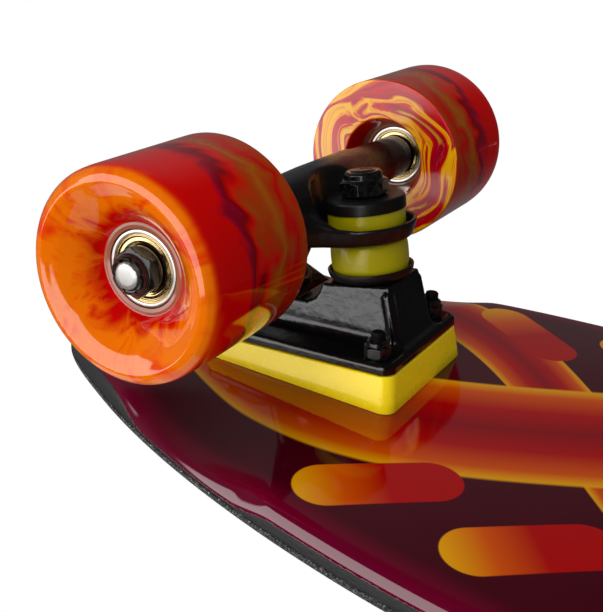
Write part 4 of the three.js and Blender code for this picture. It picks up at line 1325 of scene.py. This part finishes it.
def hanger(x, y, z):
    """Distance to the hanger."""
    side = np.abs(y)
    from_axle = np.hypot(x - AXLE_X, z - AXLE_Z)
    tube = common(from_axle - table(TUBE_RADII, side), side - HANGER_HALF_WIDTH, TUBE_EASE)
    across, up = about(x, z, KINGPIN_X, 0, KINGPIN_LEAN)
    from_kingpin = np.hypot(across, y)
    taper = np.clip((up - RING_BOTTOM) / (RING_TOP - RING_BOTTOM), 0, 1)
    wall = RING_FOOT_RADIUS + (RING_RADIUS - RING_FOOT_RADIUS) * taper**RING_SWELL
    ring = common(from_kingpin - wall, np.maximum(RING_BOTTOM - up, up - RING_TOP), RING_EASE)
    flank = side - table(ARM_WIDTHS, across) + (RING_RADIUS - wall) * ARM_TAPER
    arms = common(flank, up - table(ARM_TOPS, across), ARM_EASE)
    arms = common(arms, table(ARM_FEET, across) - up, ARM_EASE)
    ends = np.maximum(-across - ARM_PAST_RING, across - axle_across - ARM_PAST_AXLE)
    arms = common(arms, ends, ARM_END_EASE)
    across_nose, out = about(x, z, PIVOT_X, PIVOT_Z, pivot_lean)
    ball = np.sqrt(across_nose**2 + y**2 + out**2) - BALL_RADIUS
    stem = np.hypot(across_nose, y) - table(NOSE_RADII, out)
    nose = both(ball, np.maximum(stem, np.maximum(-out, out - NOSE_LENGTH)), BALL_EASE)
    whole = both(ring, arms * ARM_STRETCH, ARM_EASE)
    whole = both(both(whole, tube, CASTING_FILLET), nose, CASTING_FILLET)
    across_reach = table(BOWL_ACROSS, up)
    aside = y * across_reach / table(BOWL_ASIDE, up)
    bowl = np.maximum(np.hypot(across, aside) - across_reach, RING_FLOOR - up)
    whole = without(whole, bowl, BOWL_EASE)
    room = from_kingpin - CUP_RIM_ROOM - (RING_BOTTOM - up) * ROOM_SPREAD
    whole = without(whole, np.maximum(room, up - RING_BOTTOM), ROOM_EASE)
    bore = np.maximum(from_kingpin - RING_BORE, up - RING_FLOOR - BORE_PAST_FLOOR)
    return without(whole, bore, BORE_EASE)


satin_black, shader, place = surface(
    "satin_black_paint", paint(24, 24, 25), roughness=0.3, Coat_Weight=0.15)
feed(shader.inputs["Roughness"], between(speckle(place, size_mm=2.2, detail=3), 0.2, 0.4))
relief(shader, speckle(place, size_mm=2.4, detail=4, warp=0.3), depth_mm=0.07)
hanger_mesh = cast_mesh("hanger_casting", hanger, (-35, -65, 7), (27, 65, 60))
for end, bench in ENDS:
    seat(f"{end}_hanger_casting", hanger_mesh, satin_black, f"{end}_steering_hanger",
         f"{end}_hanger", bench)

# The axle is a ground steel rod. It is cast into the hanger, and both of its bare ends
# are threaded for the nuts that hold the wheels on.
AXLE_RADIUS = 3.97
AXLE_HALF_LENGTH = 96.7
AXLE_PITCH = 1.06
AXLE_FACE_RADIUS = 2.2
THREADED_FROM = 88

axle_half = [
    (AXLE_RADIUS, 0), (AXLE_RADIUS, THREADED_FROM - 1),
    *threaded_run(AXLE_RADIUS, THREADED_FROM, AXLE_HALF_LENGTH - 0.8, AXLE_PITCH),
    (AXLE_RADIUS - 0.35, AXLE_HALF_LENGTH - 0.4), (AXLE_RADIUS - 0.8, AXLE_HALF_LENGTH - 0.1),
    (AXLE_FACE_RADIUS, AXLE_HALF_LENGTH), (0, AXLE_HALF_LENGTH),
]
axle_profile = [(r, -level) for r, level in axle_half[::-1]] + axle_half[1:]
axle_thread = screw_shape(THREADED_FROM, AXLE_HALF_LENGTH, AXLE_RADIUS, AXLE_PITCH, THREAD_DEPTH)
axle_mesh = turned("axle_rod", axle_profile, TURNED_SIDES, lambda radius, level, angle: (
    axle_thread(radius, abs(level), angle)))
raw_steel, shader, place = surface(
    "ground_steel", paint(196, 194, 190), roughness=0.3, Metallic=1.0)
pitting = speckle(place, size_mm=0.5, detail=3)
feed(shader.inputs["Roughness"], between(pitting, 0.3, 0.6))
relief(shader, pitting, depth_mm=0.02)
along_axle = moved(AXLE_X, 0, AXLE_Z) @ Matrix.Rotation(-math.pi / 2, 4, "X")
for end, bench in ENDS:
    seat(f"{end}_axle_rod", axle_mesh, raw_steel, f"{end}_steering_hanger",
         f"{end}_axle", bench @ along_axle, sharp=40)

# Each wheel is poured urethane in swirled colours, turned on a lathe: a dish with a thick
# lip outside, and inside a flat face with fine tool marks and a recess round the hub.
WHEEL_RADIUS = 30
WHEEL_HALF_WIDTH = 23.4
WHEEL_CENTRE = 77.1
BEARING_RADIUS = 11
BEARING_WIDTH = 7
BEARING_SPACING = 10.6
BEARING_SHOULDER = 9.4
WHEEL_SIDES = 192
TREAD = (15, -19)  # where the straight tread starts and ends
bearing_mouth = BEARING_SPACING / 2 + BEARING_WIDTH
seat_radius = BEARING_RADIUS + 0.1
OUTER_FACE = [
    (seat_radius, 12.4), (12.1, 12.6), (12.9, 12.5), (13.4, 12.8), (14.2, 13.6), (15, 14.6),
    (16, 15.8), (17.2, 17), (18.6, 18.3), (20.2, 19.7), (22, 21.2), (24, 22.4),
    (25.2, 23.1), (26, WHEEL_HALF_WIDTH), (26.9, 23.2), (28.3, 22.4), (29.7, 20.4),
    (WHEEL_RADIUS, 17.4),
]
INNER_FACE = [
    (WHEEL_RADIUS, -21), (WHEEL_RADIUS, -WHEEL_HALF_WIDTH), (15.6, -WHEEL_HALF_WIDTH),
    (14.2, -19), (12.6, -14.4), (12, -12.9), (seat_radius, -12.6),
]


def curve_through(points, steps):
    """A smooth curve through the points."""
    points = np.array(points, float)
    padded = np.vstack([2 * points[0] - points[1], points, 2 * points[-1] - points[-2]])
    made = []
    for p0, p1, p2, p3 in zip(padded, padded[1:], padded[2:], padded[3:]):
        for t in np.linspace(0, 1, steps, endpoint=False):
            made.append(0.5 * (
                2 * p1 + (p2 - p0) * t + (2 * p0 - 5 * p1 + 4 * p2 - p3) * t * t
                + (3 * p1 - p0 - 3 * p2 + p3) * t**3))
    made.append(points[-1])
    return made


wheel_profile = curve_through(OUTER_FACE, steps=8)
wheel_profile += [(WHEEL_RADIUS, level) for level in np.linspace(*TREAD, 12)]
wheel_profile += eased(INNER_FACE, radius=0.8, steps=6)
wheel_profile += [
    (seat_radius, -bearing_mouth), (seat_radius, -BEARING_SPACING / 2),
    (BEARING_SHOULDER, -BEARING_SPACING / 2), (BEARING_SHOULDER, BEARING_SPACING / 2),
    (seat_radius, BEARING_SPACING / 2), (seat_radius, bearing_mouth),
]

WHEEL_YELLOW = paint(224, 142, 14)
WHEEL_AMBER = paint(210, 102, 6)
WHEEL_ORANGE = paint(204, 76, 4)
WHEEL_FLAME = paint(200, 42, 2)
WHEEL_RED = paint(178, 2, 2)
WHEEL_MAGENTA = paint(132, 0, 40)
BARREL_RED = paint(198, 4, 0)
WHEEL_DARK = paint(120, 4, 14)
WHEEL_BROWN = paint(158, 58, 14)
WHEEL_OLIVE = paint(158, 84, 20)
WHEEL_CRIMSON = paint(150, 6, 40)
WHEEL_CLEAR = paint(136, 92, 72)
INNER_YELLOW = paint(232, 170, 22)
INNER_AMBER = paint(214, 112, 12)
INNER_RED = paint(188, 10, 20)
FACE_STOPS = (
    (0.28, WHEEL_RED), (0.34, WHEEL_FLAME), (0.40, WHEEL_ORANGE), (0.46, WHEEL_AMBER),
    (0.55, WHEEL_AMBER), (0.60, WHEEL_ORANGE), (0.64, WHEEL_FLAME), (0.68, WHEEL_AMBER),
    (0.76, WHEEL_YELLOW))
BARREL_STOPS = (
    (0.0, WHEEL_FLAME), (0.06, BARREL_RED), (0.34, BARREL_RED), (0.43, WHEEL_MAGENTA),
    (0.49, WHEEL_DARK), (0.55, BARREL_RED), (0.62, WHEEL_BROWN), (0.69, WHEEL_OLIVE),
    (0.76, WHEEL_BROWN), (0.84, WHEEL_RED), (0.96, WHEEL_BROWN))
INNER_STOPS = (
    (0.30, INNER_RED), (0.36, WHEEL_CRIMSON), (0.39, INNER_RED), (0.42, INNER_AMBER),
    (0.45, INNER_YELLOW), (0.50, INNER_YELLOW), (0.52, INNER_AMBER), (0.55, INNER_YELLOW),
    (0.57, WHEEL_FLAME), (0.60, INNER_RED), (0.65, WHEEL_CRIMSON), (0.70, INNER_YELLOW))
CORE = (27, 22)  # radii where the red core starts and where it is full
CORE_STREAK = 16  # how far the streaks push those radii in
STREAK_SHARE = 0.55
WIDE_SHARE = 0.45
BARREL_BEND = 0.6
BARREL_STREAK = 0.1
WINDING = 3  # radians
SWIRL_SCALES = (0.7, 0.13)  # round the wheel and outward
SEED_STEPS = (3.7, 1.9, 2.3)  # how far apart the four wheels' swirls are taken
BARREL_FROM = (28.9, 30)
INNER_FROM = (-22.9, -23.25)  # heights where the inner face's colours start and are full
MARKED_FROM = (-22.6, -23.2)
RECESS_EDGE = (16.4, 15.4)
RECESS_DEEP = (-12, -14)
HUB_RING = (13.1, 12.8)
HUB_CLEAR = 0.85
TOOL_MARK = 0.42  # spacing of the lathe's marks on the inner face


def poured_urethane(name, seed):
    """The urethane of one wheel, with its own swirl of colours."""
    material, shader, place = surface(
        name, WHEEL_ORANGE, roughness=0.06, Subsurface_Weight=0.3,
        Subsurface_Radius=(1, 0.35, 0.12), Subsurface_Scale=2.5 * MM,
        Coat_Weight=0.2, Coat_Roughness=0.03)
    x, y, z = coordinates(place)
    from_middle = (x * x + y * y).step("SQRT")
    spoke_x, spoke_y = x / from_middle, y / from_middle
    radius, height = from_middle / MM, z / MM

    def noise_at(axes, detail, warp):
        """Noise at a point given by its coordinates."""
        together = node(place.id_data, "ShaderNodeCombineXYZ")
        for socket, value in zip(together.inputs, axes):
            feed(socket, value)
        return noise(together.outputs[0], 1, detail, warp)

    def flow(shift, turns, out, along, detail, warp):
        """Noise drawn out round the wheel, outward or along the axle, by its scales."""
        return noise_at((
            spoke_x * turns + (seed * SEED_STEPS[0] + shift),
            spoke_y * turns + seed * SEED_STEPS[1], radius * out + height * along,
        ), detail, warp)

    streaks = flow(0, turns=2.4, out=0.05, along=0.05, detail=3.5, warp=1.1)
    wide = flow(7, turns=1.0, out=0.04, along=0.04, detail=1, warp=0.5)
    face_color = ramp(streaks * STREAK_SHARE + wide * WIDE_SHARE, *FACE_STOPS)
    core = smooth_step(streaks * CORE_STREAK + radius, *CORE)
    face_color = mixed(core, face_color, WHEEL_RED)

    band = height * (-1 / (2 * WHEEL_HALF_WIDTH)) + 0.5
    bend = flow(3, turns=1.0, out=0, along=0.05, detail=2.2, warp=1.4) - 0.5
    drift = (streaks - 0.5) * BARREL_STREAK + (bend * BARREL_BEND + band)
    barrel_color = ramp(drift, *BARREL_STOPS)
    color = mixed(smooth_step(radius, *BARREL_FROM), face_color, barrel_color)

    wound = (flow(11, turns=0.7, out=0.05, along=0, detail=1, warp=0.5) - 0.5) * WINDING
    wound_x = spoke_x * wound.step("COSINE") - spoke_y * wound.step("SINE")
    swirl = noise_at((
        wound_x * SWIRL_SCALES[0] + seed * SEED_STEPS[2], radius * SWIRL_SCALES[1] + wound,
    ), detail=4, warp=0.9)
    color = mixed(smooth_step(height, *INNER_FROM), color, ramp(swirl, *INNER_STOPS))
    deep = smooth_step(radius, *RECESS_EDGE) * smooth_step(height, *RECESS_DEEP)
    color = mixed(deep, color, WHEEL_RED)
    color = mixed(smooth_step(radius, *HUB_RING) * HUB_CLEAR, color, WHEEL_CLEAR)
    feed(shader.inputs["Base Color"], color)
    marks = (radius * (2 * math.pi / TOOL_MARK)).step("SINE")
    relief(shader, marks * smooth_step(height, *MARKED_FROM), depth_mm=0.012)
    return material


wheel_places = []
for end, bench in ENDS:
    for side, hand in (("left", 1), ("right", -1)):
        bench_hand = -hand if end == "front" else hand
        outward_turn = Matrix.Rotation(-bench_hand * math.pi / 2, 4, "X")
        centre = moved(AXLE_X, bench_hand * WHEEL_CENTRE, AXLE_Z)
        wheel_places.append((end, side, bench @ centre @ outward_turn))

for seed, (end, side, hub) in enumerate(wheel_places, 1):
    tyre_mesh = turned(f"{end}_{side}_tyre", wheel_profile, WHEEL_SIDES, loop=True)
    seat(f"{end}_{side}_tyre", tyre_mesh, poured_urethane(f"poured_urethane_{end}_{side}", seed),
         f"{end}_{side}_roller", f"{end}_{side}_wheel", hub, sharp=50)

# Two sealed ball bearings press into each wheel. A steel race holds a gold-toned shield
# under a snap ring. Washers, inner races and a spacer are clamped by the axle nut.
INNER_RACE_RADIUS = 6.1
SPACER_RADIUS = 5.4
SPEED_WASHER_RADIUS = 6.6
SPEED_WASHER_THICKNESS = 1
SLEEVE_ROOM = 0.15
BEARING_SIDES = 96
BEARING_STEEL = paint(214, 212, 206)
SHIELD_GOLD = paint(206, 178, 128)
SHIELD_FROM = (9.7 * MM, 9.6 * MM)
SHIELD_GLOSS = 0.16  # how much smoother the shield is than the race
TURNING_MARK = 0.24 * MM

half_bearing = BEARING_WIDTH / 2
race_outside = BEARING_RADIUS - 0.05
race_face = eased([
    (race_outside, half_bearing - 0.4), (race_outside - 0.3, half_bearing), (9.75, half_bearing),
    (9.6, half_bearing - 0.5), (9.35, half_bearing - 0.5), (9.2, half_bearing - 0.2),
    (8.85, half_bearing - 0.25), (8.7, half_bearing - 0.6), (7.6, half_bearing - 0.4),
    (7.2, half_bearing - 0.6), (6.7, half_bearing - 0.65), (6.45, half_bearing - 1),
], radius=0.22, steps=3)
bearing_profile = [(race_outside, 0), *race_face]
bearing_profile += [(r, -level) for r, level in race_face[::-1]] + [(race_outside, 0)]
bearing_mesh = turned("sealed_bearing", bearing_profile, BEARING_SIDES)

bright_steel, shader, place = surface(
    "bearing_steel", BEARING_STEEL, roughness=0.16, Metallic=1.0)
x, y, z = coordinates(place)
radius = (x * x + y * y).step("SQRT")
on_shield = smooth_step(radius, *SHIELD_FROM)
feed(shader.inputs["Base Color"], mixed(on_shield, BEARING_STEEL, SHIELD_GOLD))
haze = speckle(place, size_mm=0.9, detail=3)
feed(shader.inputs["Roughness"], between(haze, 0.22, 0.42) - on_shield * SHIELD_GLOSS)
relief(shader, (radius * (2 * math.pi / TURNING_MARK)).step("SINE"), depth_mm=0.002)

sleeve_end = bearing_mouth + SPEED_WASHER_THICKNESS
sleeve_bore = AXLE_RADIUS + SLEEVE_ROOM
spacer_end = BEARING_SPACING / 2
sleeve_mesh = turned("washers_and_spacer", eased([
    (sleeve_bore, -sleeve_end), (SPEED_WASHER_RADIUS, -sleeve_end),
    (SPEED_WASHER_RADIUS, -bearing_mouth), (INNER_RACE_RADIUS, -bearing_mouth),
    (INNER_RACE_RADIUS, -spacer_end), (SPACER_RADIUS, -spacer_end),
    (SPACER_RADIUS, spacer_end), (INNER_RACE_RADIUS, spacer_end),
    (INNER_RACE_RADIUS, bearing_mouth), (SPEED_WASHER_RADIUS, bearing_mouth),
    (SPEED_WASHER_RADIUS, sleeve_end), (sleeve_bore, sleeve_end), (sleeve_bore, -sleeve_end),
], radius=0.18, steps=3))

for end, side, hub in wheel_places:
    for face_name, hand in (("outboard", 1), ("inboard", -1)):
        at = moved(0, 0, hand * (bearing_mouth - half_bearing))
        seat(f"{end}_{side}_{face_name}_race", bearing_mesh, bright_steel,
             f"{end}_{side}_roller", f"{end}_{side}_{face_name}_bearing", hub @ at,
             sharp=50)
    seat(f"{end}_{side}_sleeve", sleeve_mesh, black_steel, f"{end}_steering_hanger",
         f"{end}_{side}_bearing_sleeve", hub, sharp=50)

# The axle nut is blackened steel: a hexagon whose collar is crimped over its locking ring
# in six notches. It is screwed on against the outer speed washer.
AXLE_NUT_FLATS = 12.7
AXLE_NUT_HEIGHT = 5.8
AXLE_NUT_HEX_SHARE = 0.62
AXLE_NUT_CHAMFER = 0.8
AXLE_NUT_COLLAR = 5.5
AXLE_NUT_SIDES = 288
AXLE_NUT_LEVELS = 34
NOTCHES = 6
NOTCH_DEPTH = 0.55
NOTCH_RUN = 0.9
RING_MOUTH = 4.65  # the collar's metal ends here
NUT_BORE = 4.1
NUT_GAP = 0.02

hex_top = AXLE_NUT_HEX_SHARE * AXLE_NUT_HEIGHT
half_flats = AXLE_NUT_FLATS / 2
hexed = nut_shape(AXLE_NUT_FLATS, hex_top, AXLE_NUT_CHAMFER)


def crimped(radius, level, angle):
    """The nut's radius, with notches pressed into its collar."""
    around = hexed(radius, level, angle)
    notch = np.clip(np.cos(NOTCHES * angle) * 3 - 2, 0, 1)
    rising = np.clip((level - hex_top - 0.6) / NOTCH_RUN, 0, 1)
    is_collar = (radius > RING_MOUTH) & (radius < half_flats * 0.97)
    return np.where(is_collar, around - NOTCH_DEPTH * notch * rising, around)


crown = eased([
    (half_flats, hex_top), (AXLE_NUT_COLLAR + 0.3, hex_top), (AXLE_NUT_COLLAR, hex_top + 0.3),
    (AXLE_NUT_COLLAR, AXLE_NUT_HEIGHT - 0.6), (AXLE_NUT_COLLAR - 0.7, AXLE_NUT_HEIGHT),
    (RING_MOUTH + 0.1, AXLE_NUT_HEIGHT - 0.05), (RING_MOUTH - 0.05, AXLE_NUT_HEIGHT - 0.45),
    (NUT_BORE + 0.02, AXLE_NUT_HEIGHT - 0.5)], radius=0.35, steps=5)
nut_profile = [(NUT_BORE, 0.05), (half_flats * 0.9, 0)]
nut_profile += [(half_flats, level) for level in np.linspace(0, hex_top, AXLE_NUT_LEVELS)]
nut_mesh = turned("axle_lock_nut", nut_profile + crown[1:], AXLE_NUT_SIDES, crimped)

for end, side, hub in wheel_places:
    stopped = 8 + 19 * (side == "left")  # degrees
    turn = Matrix.Rotation(math.radians(stopped), 4, "Z")
    seat(f"{end}_{side}_axle_locknut", nut_mesh, black_steel, f"{end}_steering_hanger",
         f"{end}_{side}_axle_nut", hub @ moved(0, 0, sleeve_end + NUT_GAP) @ turn,
         sharp=30)
